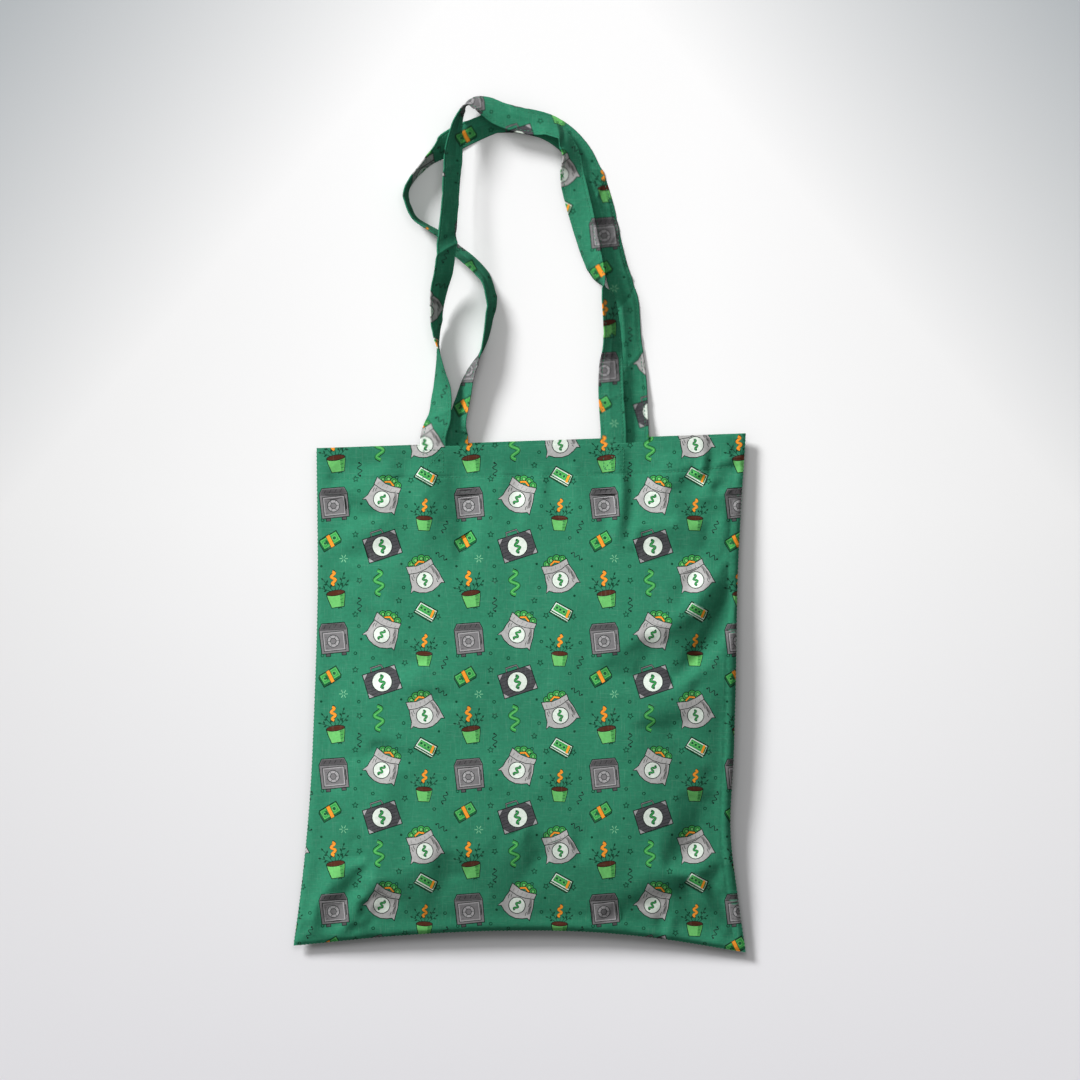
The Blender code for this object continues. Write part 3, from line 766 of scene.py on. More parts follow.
def draped(side):
    """The folds, in millimetres, of slightly slack cloth that settles over the bag between its seams."""
    columns, rows = DRAPE_GRID
    u, v = np.meshgrid(np.linspace(0, 1, columns), np.linspace(0, 1, rows))
    x, y = plan_points(side, u, v)
    z = panel_heights(side, x, y)
    mesh = bpy.data.meshes.new("drape")
    points = np.stack([x, y, z], -1).reshape(-1, 3) * MM
    mesh.from_pydata(points.tolist(), [], grid_faces(rows, columns)[:, ::side].tolist())
    sheet = placed("drape", mesh)
    held = (u == 0) | (u == 1) | (v == 0) | (v >= 0.97)
    sheet.vertex_groups.new(name="held").add(np.nonzero(held.ravel())[0].tolist(), 1.0, "REPLACE")
    cloth = sheet.modifiers.new("cloth", "CLOTH")
    configure(cloth.settings, DRAPE_CLOTH)
    cloth.settings.effector_weights.gravity = 0.0
    cloth.collision_settings.use_collision = False
    cloth.point_cache.frame_start = 1
    cloth.point_cache.frame_end = DRAPE_FRAMES
    for number in range(1, DRAPE_FRAMES + 1):
        bpy.context.scene.frame_set(number)
    settled = sheet.evaluated_get(bpy.context.evaluated_depsgraph_get()).data
    heights = np.zeros(len(settled.vertices) * 3, np.float32)
    settled.vertices.foreach_get("co", heights)
    moved = (heights.reshape(rows, columns, 3)[..., 2] / MM - z) * side
    bpy.context.scene.frame_set(1)
    bpy.data.objects.remove(sheet)
    bpy.data.meshes.remove(mesh)
    return np.clip(moved - blurred(moved, DRAPE_BLUR), -DRAPE_CAP, DRAPE_CAP)


DRAPE[1], DRAPE[-1] = draped(1), draped(-1)


class Nodes:
    """A short way to lay out the nodes of a material or a world."""

    def __init__(self, owner, shader="Principled BSDF"):
        owner.use_nodes = True
        self.owner = owner
        self.tree = owner.node_tree
        self.shader = self.tree.nodes[shader]
        self.coordinates = self.add("TexCoord", {})
        self.place = self.coordinates["Object"]

    def feed(self, node, inputs):
        """Gives inputs a number, a colour or another node's output."""
        for name, value in inputs.items():
            if isinstance(value, bpy.types.NodeSocket):
                self.tree.links.new(value, node.inputs[name])
            else:
                node.inputs[name].default_value = value

    def add(self, kind, inputs, **settings):
        """Adds a node and returns its outputs."""
        node = self.tree.nodes.new("ShaderNode" + kind)
        configure(node, settings)
        self.feed(node, inputs)
        return node.outputs

    def scaled(self, x, y, z):
        return self.add("Mapping", {"Scale": (x, y, z), "Vector": self.place})["Vector"]

    def noise(self, vector, scale, detail=2.0, roughness=0.5):
        inputs = {"Scale": scale, "Detail": detail, "Roughness": roughness, "Vector": vector}
        return self.add("TexNoise", inputs)["Fac"]

    def waves(self, direction, pitch, distortion=0.0, detail=2.0):
        """Round bands that repeat at a pitch in millimetres."""
        scale = math.tau / (20.0 * pitch * MM)
        inputs = {"Scale": scale, "Distortion": distortion, "Detail": detail, "Vector": self.place}
        kind = {"wave_type": "BANDS", "bands_direction": direction, "wave_profile": "SIN"}
        return self.add("TexWave", inputs, **kind)["Fac"]

    def spread(self, value, low, high, to_low, to_high):
        limits = {"From Min": low, "From Max": high, "To Min": to_low, "To Max": to_high}
        return self.add("MapRange", {"Value": value, **limits})["Result"]

    def maths(self, operation, a, b):
        return self.add("Math", {0: a, 1: b}, operation=operation)[0]

    def mix(self, share, a, b, blend="MIX"):
        inputs = {"Factor": share, "A": a, "B": b}
        return self.add("Mix", inputs, data_type="RGBA", blend_type=blend)["Result"]

    def bump(self, height, strength, depth):
        inputs = {"Height": height, "Strength": strength, "Distance": depth * MM}
        self.feed(self.shader, {"Normal": self.add("Bump", inputs)["Normal"]})


def cloth_material(name, weave_pitch=0.62, streak=0.04, mottle=0.10, faded=0.0, relief=0.10):
    """Printed plain-weave cotton: crossing threads, thicker slubs, a heathered tone and soft wear."""
    n = Nodes(bpy.data.materials.new(name))
    ink = n.add("Attribute", {}, attribute_name="ink")["Color"]
    # Slubs: long pale threads along both ways of the weave.
    threads = [n.noise(n.scaled(*way), 1.0, 1.0) for way in ((95.0, 1250.0, 90.0), (1250.0, 80.0, 90.0))]
    slubs = n.maths("ADD", *[n.spread(thread, 0.58, 0.76, 0.0, 1.0) for thread in threads])
    mottled = n.noise(n.place, 420.0, 3.0, 0.6)
    heather = n.spread(mottled, 0.3, 0.7, 1.0 - mottle, 1.0 + mottle)
    cloudy = n.spread(n.noise(n.place, 28.0, 2.0), 0.3, 0.7, 0.96, 1.04)
    tone = n.maths("MULTIPLY", heather, cloudy)
    grey = n.add("CombineColor", {"Red": tone, "Green": tone, "Blue": tone})["Color"]
    toned = n.mix(1.0, ink, grey, "MULTIPLY")
    lighter = n.mix(n.maths("MULTIPLY", slubs, streak), toned, (0.55, 0.80, 0.68, 1.0))
    # Weave: two crossing sets of round threads.
    weave = n.maths("ADD", *[n.waves(way, weave_pitch, 0.8, 0.0) for way in ("X", "Y")])
    height = n.maths("ADD", n.maths("MULTIPLY", weave, 0.25), n.maths("MULTIPLY", slubs, 0.35))
    n.bump(n.maths("ADD", height, n.maths("MULTIPLY", mottled, 0.5)), 0.55, relief)
    n.feed(n.shader, {
        "Base Color": n.mix(faded, lighter, (0.50, 0.66, 0.58, 1.0)),
        "Roughness": n.spread(mottled, 0.3, 0.7, 0.80, 0.94),
        "Sheen Weight": 0.02,
        "Sheen Roughness": 0.6,
        "Specular IOR Level": 0.08,
    })
    return n.owner


def thread_material(name):
    """Twisted sewing thread."""
    n = Nodes(bpy.data.materials.new(name))
    ink = n.add("Attribute", {}, attribute_name="ink")["Color"]
    tone = n.spread(n.noise(n.place, 900.0), 0.3, 0.7, 0.0, 0.35)
    n.bump(n.waves("DIAGONAL", 0.5), 0.6, 0.08)
    n.feed(n.shader, {"Base Color": n.mix(tone, ink, (0.03, 0.22, 0.13, 1.0)), "Roughness": 0.55})
    return n.owner


PANEL_CLOTH = cloth_material("printed_cotton")
HEM_CLOTH = cloth_material("printed_cotton_hem")
STRAP_CLOTH = cloth_material("printed_cotton_strap", weave_pitch=0.55)
REVERSE_CLOTH = cloth_material("cotton_reverse", streak=0.25, mottle=0.14, faded=0.10, relief=0.14)
SEWING_THREAD = thread_material("green_sewing_thread")


RASTER = print_raster(RASTER_CELL)


def print_light(x, y):
    """The print's linear light at points seen from above."""
    rows, columns = RASTER.shape[:2]
    across = (np.asarray(x) - TILE_ORIGIN[0]) / TILE * columns - 0.5
    up = (np.asarray(y) - TILE_ORIGIN[1]) / TILE * rows - 0.5
    return wrapped(RASTER, across, up)


class Skin:
    """Gathers patches of surface that become one mesh. Points are in millimetres."""

    def __init__(self):
        self.points, self.normals, self.light = [], [], []
        self.faces, self.slots = [], []
        self.count = 0

    def patch(self, points, normals, faces, light, slot=0):
        """Adds a patch whose faces have equal numbers of corners, turned the way the normals point."""
        faces = np.array(faces)
        corners = points[faces]
        facing = np.cross(corners, np.roll(corners, -1, axis=1)).sum(1)
        wrong = np.sum(facing * normals[faces].mean(1), -1) < 0
        faces[wrong] = faces[wrong, ::-1]
        self.points.append(points)
        self.normals.append(normals)
        self.faces.extend((faces + self.count).tolist())
        self.light.append(np.broadcast_to(light, (len(faces), 3)))
        self.slots.extend([slot] * len(faces))
        self.count += len(points)

    def grid(self, points, normals, light, slot=0):
        """Adds a grid of points. light holds one colour for each point or column, or one for all."""
        faces = grid_faces(*points.shape[:2])
        tone = np.broadcast_to(light, points.shape).reshape(-1, 3)[faces].mean(1)
        self.patch(points.reshape(-1, 3), normals.reshape(-1, 3), faces, tone, slot)

    def make(self, name, *materials):
        mesh = bpy.data.meshes.new(name)
        mesh.from_pydata((np.concatenate(self.points) * MM).tolist(), [], self.faces)
        for material in materials:
            mesh.materials.append(material)
        mesh.polygons.foreach_set("material_index", self.slots)
        mesh.polygons.foreach_set("use_smooth", [True] * len(self.faces))
        light = np.repeat(np.concatenate(self.light), [len(face) for face in self.faces], axis=0)
        light = np.column_stack([light, np.ones(len(light))]).astype(np.float32)
        mesh.attributes.new("ink", "FLOAT_COLOR", "CORNER").data.foreach_set("color", light.ravel())
        mesh.normals_split_custom_set_from_vertices(np.concatenate(self.normals).tolist())
        return placed(name, mesh)


def reach_along(points):
    """How far along a line of points each one lies."""
    return np.concatenate([[0.0], np.cumsum(np.linalg.norm(np.diff(points, axis=0), axis=1))])


def read_along(rows, reach, at):
    """Rows of numbers that stand at rising reaches, read at other reaches."""
    return np.stack([np.interp(at, reach, column) for column in rows.T], -1)


def shares_between(first, last, length, step):
    return np.linspace(first, last, int(round(length / step)) + 1)


def span_of(half):
    return PANEL_WIDTH if half == "whole" else PANEL_WIDTH / 2


def share_limits(half, inset):
    """The shares at which a region starts and stops when it keeps a distance from the side seams."""
    share = inset / span_of(half)
    return share, 1 - share if half == "whole" else 1.0


def region_outline(side, half, low_v, inset=0.0):
    """The plan outline of a panel or half panel from low_v up to the mouth."""
    first, last = share_limits(half, inset)
    vs = shares_between(low_v, 1.0, PANEL_LENGTH * (1 - low_v), PANEL_GRID)
    us = shares_between(first, last, span_of(half), PANEL_GRID)
    up, along = np.ones(len(vs)), np.ones(len(us))
    runs = ((first * up, vs), (us, along), (last * up, vs[::-1]), (us[::-1], low_v * along))
    return np.concatenate([np.stack(plan_points(side, u, v, half), 1)[:-1] for u, v in runs])


def loose_points(side, half, low_v):
    """Points that carry the cloth's shape between the printed outlines, closer together along the seams."""
    outline = region_outline(side, half, low_v)
    low, high = outline.min(0), outline.max(0)
    step = PANEL_GRID
    found = []
    for row, y in enumerate(np.arange(low[1] + step * 0.6, high[1] - step * 0.4, step * 0.866)):
        shift = 0.5 * step if row % 2 else 0.0
        found.extend((x, y) for x in np.arange(low[0] + 3.0 + shift, high[0] - 2.0, step))
    vs = shares_between(max(low_v, 0.004), 0.998, PANEL_LENGTH, step)
    seams = {"left": [(0.0, 1)], "right": [(0.0, -1)], "whole": [(0.0, 1), (1.0, -1)]}
    for u, inward in seams[half]:
        x, y = plan_points(side, np.full(len(vs), u), vs, half)
        for ring in EDGE_RINGS + (SEAM_LINE_RINGS if half == "right" else ()):
            found.extend(zip(x + inward * ring, y))
    if low_v == 0.0:
        us = shares_between(0.003, 0.997, span_of(half), step)
        x, y = plan_points(side, us, 0 * us, half)
        for ring in EDGE_RINGS:
            found.extend(zip(x, y + ring))
        for depth in HEM_LINE_RINGS:
            found.extend(zip(*plan_points(side, us, 0 * us + 1 - depth / PANEL_LENGTH, half)))
    return [(float(x), float(y)) for x, y in found]


def printed_region(side, half, low_v, inset, mirrored):
    """Plan points, triangles and ink light of the printed cloth from low_v up to the mouth."""
    outline = region_outline(side, half, low_v, inset)
    low, high = outline.min(0), outline.max(0)
    loose = loose_points(side, half, low_v)
    if inset:
        loose = [p for p in loose if low[0] + 1 < p[0] < high[0] - 1]
    flat, triangles, inks = cut_print(outline, shapes_over(low, high, mirrored), loose)
    return flat[:, 0], flat[:, 1], triangles, INK_LIGHT[inks]


def inner_heights(side, x, y, depth):
    """The height at a depth under a panel's outer face, never past the surface between the panels."""
    outer = panel_heights(side, x, y)
    middle = seam_heights(*plan_shares(side, x, y))
    return middle + side * np.maximum(side * (outer - middle) - depth, 0.05)


def panel_piece(name, side, half):
    """A panel, or half of it: the printed face, the plain inside, and the edges that join them."""
    skin = Skin()
    x, y, triangles, light = printed_region(side, half, 0.0, 0.0, side < 0)
    points = np.stack([x, y, panel_heights(side, x, y)], 1)
    skin.patch(points, panel_normals(side, x, y), triangles, light)

    us = shares_between(0.0, 1.0, span_of(half), INNER_GRID)
    vs = shares_between(0.0, 1.0, PANEL_LENGTH, INNER_GRID)
    x, y = plan_points(side, *np.meshgrid(us, vs), half)
    points = np.stack([x, y, inner_heights(side, x, y, REVERSE_DEPTH)], -1)
    skin.grid(points, -panel_normals(side, x, y), REVERSE_LIGHT, 1)

    # The edges are read closely enough to carry the print over them.
    us = shares_between(0.0, 1.0, span_of(half), RIM_GRID)
    vs = shares_between(0.0, 1.0, PANEL_LENGTH, RIM_GRID)
    x, y = plan_points(side, us, 1 + 0 * us, half)
    top = panel_heights(side, x, y)
    rounded_rim(skin, side, x, y, (90, -90, 7), 0.55, lambda s: top - side * HEM_THICKNESS / 2 * (1 - s))
    seam_rim(skin, side, *plan_points(side, us, 0 * us, half), (0.0, -1.0, 0.0))
    seam_rim(skin, side, *plan_points(side, 0 * vs, vs, half), (1.0 if half == "right" else -1.0, 0.0, 0.0))
    if half == "whole":
        seam_rim(skin, side, *plan_points(side, 1 + 0 * vs, vs, half), (1.0, 0.0, 0.0))
    return skin.make(name, PANEL_CLOTH, REVERSE_CLOTH)


def rounded_rim(skin, side, x, y, turn, reach, height_at):
    """A half-round edge along plan points. height_at gives its heights from the sine of the angle."""
    rows, normals = [], []
    for angle in np.radians(np.linspace(*turn)):
        c, s = math.cos(angle), math.sin(angle)
        rows.append(np.stack([x, y + reach * c, height_at(s)], 1))
        normals.append((0.0, math.copysign(1, reach) * c, side * s))
    rows = np.array(rows)
    normals = np.broadcast_to(unit(np.array(normals))[:, None], rows.shape)
    skin.grid(rows, normals, print_light(x, y))


def seam_rim(skin, side, x, y, outward):
    """The narrow edge by which one panel meets the other at a seam."""
    heights = panel_heights(side, x, y), seam_heights(*plan_shares(side, x, y))
    rows = np.stack([np.stack([x, y, z], 1) for z in heights])
    skin.grid(rows, np.broadcast_to(np.array(outward), rows.shape), print_light(x, y))


def hem_piece(name, side, half):
    """The folded mouth edge: printed on the side that faces into the bag, with a rounded lower fold."""
    skin = Skin()
    low_v = 1 - HEM_DEPTH / PANEL_LENGTH
    x, y, triangles, light = printed_region(side, half, low_v, HEM_INSET, False)
    points = np.stack([x, y, inner_heights(side, x, y, HEM_THICKNESS)], 1)
    skin.patch(points, -panel_normals(side, x, y), triangles, light)
    us = shares_between(*share_limits(half, HEM_INSET), span_of(half), RIM_GRID)
    x, y = plan_points(side, us, 0 * us + low_v, half)

    def fold_height(s):
        return inner_heights(side, x, y, HEM_THICKNESS - HEM_FOLD_REACH * (1 + s))

    rounded_rim(skin, side, x, y, (-90, 90, 6), -HEM_FOLD_REACH, fold_height)
    return skin.make(name, HEM_CLOTH)


def dense_line(table):
    """Rows of x, y, z and roll along a smooth curve through a handle's table, evenly spaced."""
    rows = np.array(table, float)
    along = reach_along(rows[:, :3]) + 1.5 * np.cumsum(np.abs(np.diff(rows[:, 3], prepend=rows[0, 3])))
    line = curve(along, rows, np.linspace(0, along[-1], 6000))
    reach = reach_along(line[:, :3])
    return read_along(line, reach, np.linspace(0, reach[-1], int(reach[-1] / STRAP_GRID)))


def strap_line(side, table):
    """A handle's whole centre line, with the ends that are sewn inside the bag."""
    line = dense_line(table)
    reach = np.arange(len(line)) * STRAP_GRID
    count = int(HEM_DEPTH / STRAP_GRID)
    sewn = []
    for (x, mouth_y, z, roll), distance in ((table[0], reach), (table[-1], reach[::-1])):
        xs, rolls = np.full(count, x), np.full(count, roll)
        ys = np.linspace(mouth_y - HEM_DEPTH, mouth_y, count, endpoint=False)
        sewn.append(np.stack([xs, ys, panel_heights(side, xs, ys) - side * STRAP_DROP, rolls], 1))
        gap = panel_heights(side, np.array(x), np.array(mouth_y)) - side * STRAP_DROP - z
        line[:, 2] += gap * (1 - smooth(0.0, STRAP_EASE, distance))
    return np.concatenate([sewn[0], line, sewn[1][::-1]])


def strap_frame(line):
    """A strap's smoothed centre, its level right, and its directions across and away from its face."""
    kernel = np.hanning(9) / np.hanning(9).sum()
    padded = np.concatenate([line[:1, :3].repeat(4, 0), line[:, :3], line[-1:, :3].repeat(4, 0)])
    centre = np.stack([np.convolve(column, kernel, "valid") for column in padded.T], 1)
    tangent = unit(np.gradient(centre, axis=0))
    right = unit(np.cross(tangent, (0.0, 0.0, 1.0)))
    up = np.cross(right, tangent)
    roll = np.radians(line[:, 3])[:, None]
    return centre, right, right * np.cos(roll) - up * np.sin(roll), right * np.sin(roll) + up * np.cos(roll)


def strap_section():
    """Across and away distances round a flat folded strap, with soft edges and sunken rows of stitching."""
    round_edge = STRAP_THICKNESS / 2
    flat = STRAP_WIDTH / 2 - round_edge
    across = np.linspace(-flat, flat, 33)
    sunk = sum(0.28 * np.exp(-(((across - s) / 0.7) ** 2)) for s in STITCH_ROWS)
    thick = round_edge * (0.86 + 0.14 * np.cos(across / flat * math.pi)) - sunk
    turn = np.radians(np.linspace(90, -90, 7)[1:-1])
    end_across, end_away = flat + round_edge * np.cos(turn), thick[0] * np.sin(turn)
    return np.concatenate([
        np.stack([across, thick], 1),
        np.stack([end_across, end_away], 1),
        np.stack([across[::-1], -thick[::-1]], 1),
        np.stack([-end_across, -end_away], 1),
    ])


def strap_surface(side, table, seed):
    """Rows of points round a strap, where the print falls on them, and the way its face points."""
    line = strap_line(side, table)
    centre, right, across, away = strap_frame(line)
    section = strap_section()
    reach = np.arange(len(line))[:, None] * STRAP_GRID
    s, t = section[None, :, 0], section[None, :, 1]
    # Worn webbing is slightly warped and cupped, creased lengthwise and tucked across.
    shape = 0.35 * value_noise(reach, s, 21.0, seed)
    shape = shape + 0.14 * value_noise(1.3 * reach, 1.7 * s, 7.0, seed + 1)
    shape += 0.5 * (s / 11.0) ** 2 * value_noise(reach, 0 * reach, 60.0, seed + 2)
    for first, last, middle, height in STRAP_CREASES[side]:
        fade = smooth(first, first + 40.0, reach) * (1 - smooth(last - 40.0, last, reach))
        shape += height * fade * (np.exp(-np.abs(s - middle) / 4.5) - 0.35)
    for place, lean, half, height in STRAP_TUCKS[side]:
        depth = height * (0.7 + 0.03 * s * lean)
        shape += depth * np.exp(-np.abs((reach - place - lean * s) / half) ** 1.5)
    free = smooth(HEM_DEPTH, HEM_DEPTH + STRAP_EASE, np.minimum(reach, reach[::-1]))
    away_by = t + shape * free
    points = centre[:, None] + across[:, None] * s[..., None] + away[:, None] * away_by[..., None]
    # The back handle lies on the floor, which holds its lowest edge up.
    sag = BACK_STRAP_SAG * free if side < 0 else 0.0
    points[..., 2] = np.maximum(points[..., 2] - sag, FLOOR_GAP)
    # Inside the bag a strap lies against its panel.
    under = panel_heights(side, points[..., 0], points[..., 1])
    under -= panel_heights(side, centre[:, 0], centre[:, 1])[:, None]
    points[..., 2] += under * (1 - free)
    # The print runs across the strap as it lies, and is spread out where the strap stands on edge.
    tilt = np.sum(across * right, -1)
    spread = np.where(tilt < 0, -1.0, 1.0) * np.maximum(np.abs(tilt), 0.4)
    spots = centre[:, None, :2] + right[:, None, :2] * (s * spread[:, None])[..., None]
    return points, spots, away


def strap_piece(name, points, spots):
    """A handle: the free loop and both sewn ends as one closed folded strap."""
    skin = Skin()
    ring = np.concatenate([points, points[:, :1]], 1)
    spots = np.concatenate([spots, spots[:, :1]], 1)
    wide = np.concatenate([ring[:, -2:-1], ring, ring[:, 1:2]], 1)
    normals = unit(np.cross((wide[:, 2:] - wide[:, :-2]) / 2, np.gradient(ring, axis=0)))
    skin.grid(ring, normals, print_light(spots[..., 0], spots[..., 1]))
    for row, beside in ((0, 1), (-1, -2)):
        cap = ring[row, :-1]
        facing = np.broadcast_to(unit(ring[row].mean(0) - ring[beside].mean(0)), cap.shape)
        skin.patch(cap, facing, [range(len(cap))], print_light(*cap[0, :2]))
    return skin.make(name, STRAP_CLOTH)


def stitches(name, runs, radius=0.24, length=2.3):
    """Separate sewn stitches. Each run is rows of points with the directions away from the cloth."""
    skin = Skin()
    # Along each stitch: share of its length, width and lift.
    profile = [(-0.5, 0.15, -0.5), (-0.34, 0.85, 0.35), (0, 1, 0.75), (0.34, 0.85, 0.35), (0.5, 0.15, -0.5)]
    profile = np.array(profile)
    angles = np.linspace(0, math.tau, 6, endpoint=False)
    for points, normals in runs:
        reach = reach_along(points)
        for middle in np.arange(STITCH_PITCH / 2, reach[-1] - STITCH_PITCH / 4, STITCH_PITCH):
            behind, ahead = read_along(points, reach, (middle - 0.6, middle + 0.6))
            tangent = unit(ahead - behind)
            away = unit(read_along(normals, reach, middle))
            beside = unit(np.cross(tangent, away))
            rings = []
            for share, width, lift in profile:
                base = read_along(points, reach, middle + share * length) + away * lift * radius
                spokes = [beside * math.cos(t) + away * math.sin(t) for t in angles]
                rings.append(base + np.array(spokes) * radius * width)
            rings = np.array(rings)
            closed = np.concatenate([rings, rings[:, :1]], 1)
            facing = unit(closed - closed.mean(1, keepdims=True) + tangent * profile[:, :1, None] * 0.2)
            skin.grid(closed, facing, THREAD_LIGHT)
            for row, way in ((0, -1), (-1, 1)):
                skin.patch(rings[row], np.broadcast_to(tangent * way, (6, 3)), [range(6)], THREAD_LIGHT)
    return skin.make(name, SEWING_THREAD)


def panel_run(side, points):
    """A stitch line over a panel's outer face, from plan points."""
    xy = np.array(points, float)
    reach = reach_along(xy)
    x, y = read_along(xy, reach, np.linspace(0, reach[-1], max(3, int(reach[-1] / 2.0)))).T
    normals = panel_normals(side, x, y)
    return np.stack([x, y, panel_heights(side, x, y)], 1) + normals * 0.05, normals


def box_runs(side, x, mouth_y):
    """The square of stitching with its crossed diagonals over one strap end."""
    half = STRAP_WIDTH / 2 - 2.5
    corners = box(x - half, mouth_y - HEM_DEPTH + 3.0, x + half, mouth_y - 4.0)
    return [panel_run(side, line) for line in (corners + corners[:1], corners[::2], corners[1::2])]


def hem_run(side, first, last):
    us = np.linspace(first, last, 80)
    x, mouth = plan_points(side, us, np.ones(80))
    return panel_run(side, np.stack([x, mouth - HEM_DEPTH], 1))


def strap_runs(points, away):
    """The rows of stitching along both edges and on both faces of a handle's free loop."""
    section = strap_section()
    skip = int((HEM_DEPTH + 3.0) / STRAP_GRID)
    rows = slice(skip, -skip, 3)
    runs = []
    for s in STITCH_ROWS:
        for face in (1, -1):
            k = int(np.argmin(np.abs(section[:, 0] - s) + 10 * (np.sign(section[:, 1]) != face)))
            runs.append((points[rows, k], away[rows] * face))
    return runs


def seam_points(edge, shares, inside):
    """Points between the panels, at distances inside a seam."""
    if edge == "bottom":
        x, y = plan_points(1, shares, 0 * shares)
        return np.stack([x, y + inside, seam_heights(shares, inside / PANEL_LENGTH)], 1)
    u, way = (0.0, 1) if edge == "left" else (1.0, -1)
    x, y = plan_points(1, u + 0 * shares, shares)
    return np.stack([x + way * inside, y, seam_heights(u + way * inside / SEAM_TO_SEAM, shares)], 1)


def seam_run(edge):
    """The stitching of a side or bottom seam, seen in the groove where the panels meet."""
    out, limits, _ = SEAMS[edge]
    shares = np.linspace(*limits, 90)
    points = seam_points(edge, shares, 0 * shares)
    out = np.broadcast_to(np.array(out), points.shape)
    return points - out * 0.1, out


def allowance_piece(name, edge):
    """The turned-in cloth edges along a seam, pressed together inside the bag, with a closed edge."""
    skin = Skin()
    shares = np.linspace(*SEAMS[edge][2], 110)
    wave = 0.35 * np.sin(np.arange(110) * 0.9)
    depths = np.linspace(0.9, 0.9 + ALLOWANCE, 7)
    middle = np.array([seam_points(edge, shares, d + wave * (d / ALLOWANCE) ** 2) for d in depths])
    lift = np.zeros(middle.shape)
    lift[..., 2] = 0.45 * (1 - 0.5 * smooth(0.7, 1.0, np.linspace(0, 1, 7)))[:, None]
    normals = unit(np.cross(np.gradient(middle, axis=1), np.gradient(middle, axis=0)))
    normals *= np.sign(normals[..., 2:])
    skin.grid(middle + lift, normals, REVERSE_LIGHT)
    skin.grid(middle - lift, -normals, REVERSE_LIGHT)
    rim = np.stack([middle[-1] + lift[-1], middle[-1] - lift[-1]])
    skin.grid(rim, np.broadcast_to(unit(middle[-1] - middle[-2]), rim.shape), REVERSE_LIGHT)
    return skin.make(name, REVERSE_CLOTH)


def dress(piece, slot, *nodes):
    """Puts a piece in the place of CAD nodes."""
    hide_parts(*nodes)
    return piece


def sew(name, node, runs, **sizes):
    return dress(stitches(name, runs, **sizes), "sewing_thread", node)


for half, sign, first, last in (("left", -1, 0.03, 0.4865), ("right", 1, 0.4865, 0.97)):
    for piece in (
        dress(panel_piece(f"front_cloth_{half}", 1, half), "panel_cloth", "front_panel"),
        dress(hem_piece(f"front_hem_fold_{half}", 1, half), "hem_cloth", "front_hem"),
        sew(f"front_hem_stitching_{half}", "front_hem_thread", [hem_run(1, first, last)]),
    ):
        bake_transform(piece)

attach(dress(panel_piece("back_cloth", -1, "whole"), "panel_cloth", "back_panel"), "bag")
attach(dress(hem_piece("back_hem_fold", -1, "whole"), "hem_cloth", "back_hem"), "bag")
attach(sew("back_hem_stitching", "back_hem_thread", [hem_run(-1, 0.03, 0.97)]), "bag")

for edge in SEAMS:
    turned = allowance_piece(f"{edge}_seam_allowance_cloth", edge)
    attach(dress(turned, "hem_cloth", f"{edge}_seam_allowance"), "bag")
    sewing = sew(f"{edge}_seam_stitching", f"{edge}_seam_thread", [seam_run(edge)], radius=0.28, length=2.0)
    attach(sewing, "bag")

for label, side, table, body, loop, seed in (
    ("front", 1, FRONT_HANDLE_LINE, "front", "front_loop", 21),
    ("back", -1, BACK_HANDLE_LINE, "bag", "back_loop", 31),
):
    handle = f"{label}_handle"
    points, spots, away = strap_surface(side, table, seed)
    strap = strap_piece(f"{label}_strap", points, spots)
    dress(strap, "strap_cloth", handle, f"{handle}_end_left", f"{handle}_end_right")
    for piece in (strap, sew(f"{label}_strap_stitching", f"{handle}_thread", strap_runs(points, away))):
        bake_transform(piece)
    for where, row in (("left", table[0]), ("right", table[-1])):
        stem = f"{label}_box_stitch"
        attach(sew(f"{stem}ing_{where}", f"{stem}_{where}", box_runs(side, *row[:2])), body)


FLOOR_REACH = 4.0
CAMERA_HEIGHT = 12.0
VIEW_WIDTH = 0.918
VIEW_CENTRE = (0.0153, 0.1275)


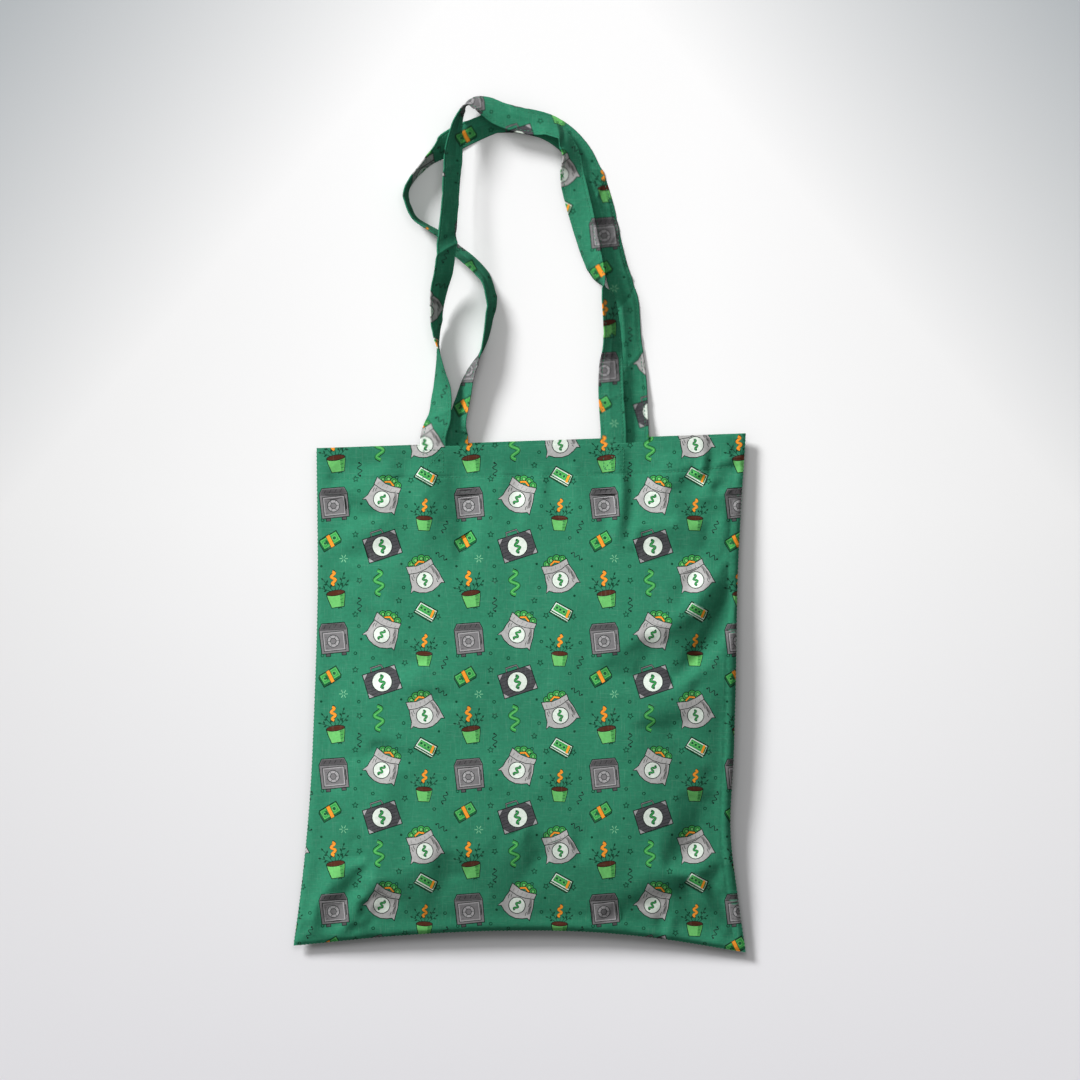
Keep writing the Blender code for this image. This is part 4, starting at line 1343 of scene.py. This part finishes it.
def floor():
    """A pale, faintly mottled studio floor with a painted pool of light."""
    n = Nodes(bpy.data.materials.new("studio_floor"))
    tone = n.noise(n.place, 3.0, 3.0)
    plain = n.mix(n.spread(tone, 0.3, 0.7, 0.0, 1.0), (0.90, 0.90, 0.905, 1.0), (0.915, 0.915, 0.92, 1.0))
    # Painted light pool: the floor's colour is painted darker and cooler towards both sides, the far corners
    # and the near edge.
    place = n.add("SeparateXYZ", {0: n.place})
    sideways = n.maths("ABSOLUTE", n.maths("SUBTRACT", place["X"], 0.015), 0.0)
    # Painted shade: darker towards both sides.
    outer = n.mix(n.spread(sideways, 0.14, 0.46, 0.0, 1.0), plain, (0.79, 0.79, 0.795, 1.0))
    corner = n.maths("ADD", n.maths("MULTIPLY", sideways, 0.75), n.maths("MULTIPLY", place["Y"], 0.65))
    painted_corner_shade = n.mix(n.spread(corner, 0.44, 0.72, 0.0, 1.0), outer, (0.43, 0.455, 0.475, 1.0))
    painted_light_pool = n.mix(n.spread(place["Y"], -0.36, 0.15, 1.0, 0.0), painted_corner_shade, (0.71, 0.705, 0.735, 1.0))
    # The floor throws only part of its light back up, so that the shaded cloth stays deep.
    to_camera = n.add("LightPath", {})["Is Camera Ray"]
    n.feed(n.shader, {
        "Base Color": n.mix(to_camera, (0.26, 0.26, 0.27, 1.0), painted_light_pool),
        "Roughness": n.spread(tone, 0.3, 0.7, 0.72, 0.82),
        "Specular IOR Level": 0.2,
    })
    mesh = bpy.data.meshes.new("studio_floor")
    corners = box(-FLOOR_REACH, -FLOOR_REACH, FLOOR_REACH, FLOOR_REACH)
    mesh.from_pydata([(x, y, 0) for x, y in corners], [], [(0, 1, 2, 3)])
    mesh.materials.append(n.owner)
    placed("studio_floor", mesh)


def lamp(name, kind, energy, place, aim, **settings):
    """A light at a place, pointing at a spot."""
    data = bpy.data.lights.new(name, kind)
    data.energy = energy
    configure(data, settings)
    light = placed(name, data)
    light.location = place
    light.rotation_mode = "QUATERNION"
    light.rotation_quaternion = (Vector(aim) - Vector(place)).to_track_quat("-Z", "Y")


floor()
lamp("window", "SUN", 3.4, (-1.04, 1.04, 1.0), (0, 0, 0), angle=math.radians(17))
lamp("overhead", "AREA", 9.0, (0.0, 0.70, 2.0), (0.0, 0.50, 0), shape="DISK", size=1.0)

sky = Nodes(bpy.data.worlds.new("studio"), "Background")
bright_way = unit(np.array([-0.55, 0.45, 0.80]))
inputs = {0: sky.coordinates["Generated"], 1: bright_way}
facing = sky.add("VectorMath", inputs, operation="DOT_PRODUCT")["Value"]
sky.feed(sky.shader, {
    "Color": (1.0, 0.99, 0.97, 1.0),
    "Strength": sky.spread(facing, -0.2, 1.0, 0.0, 0.46),
})
bpy.context.scene.world = sky.owner
bpy.context.scene.view_settings.view_transform = "Standard"

eye = bpy.data.cameras.new("camera")
eye.sensor_width = 36.0
eye.lens = eye.sensor_width * CAMERA_HEIGHT / VIEW_WIDTH
eye.clip_end = 30.0
camera = placed("camera", eye)
camera.location = (*VIEW_CENTRE, CAMERA_HEIGHT)
bpy.context.scene.camera = camera
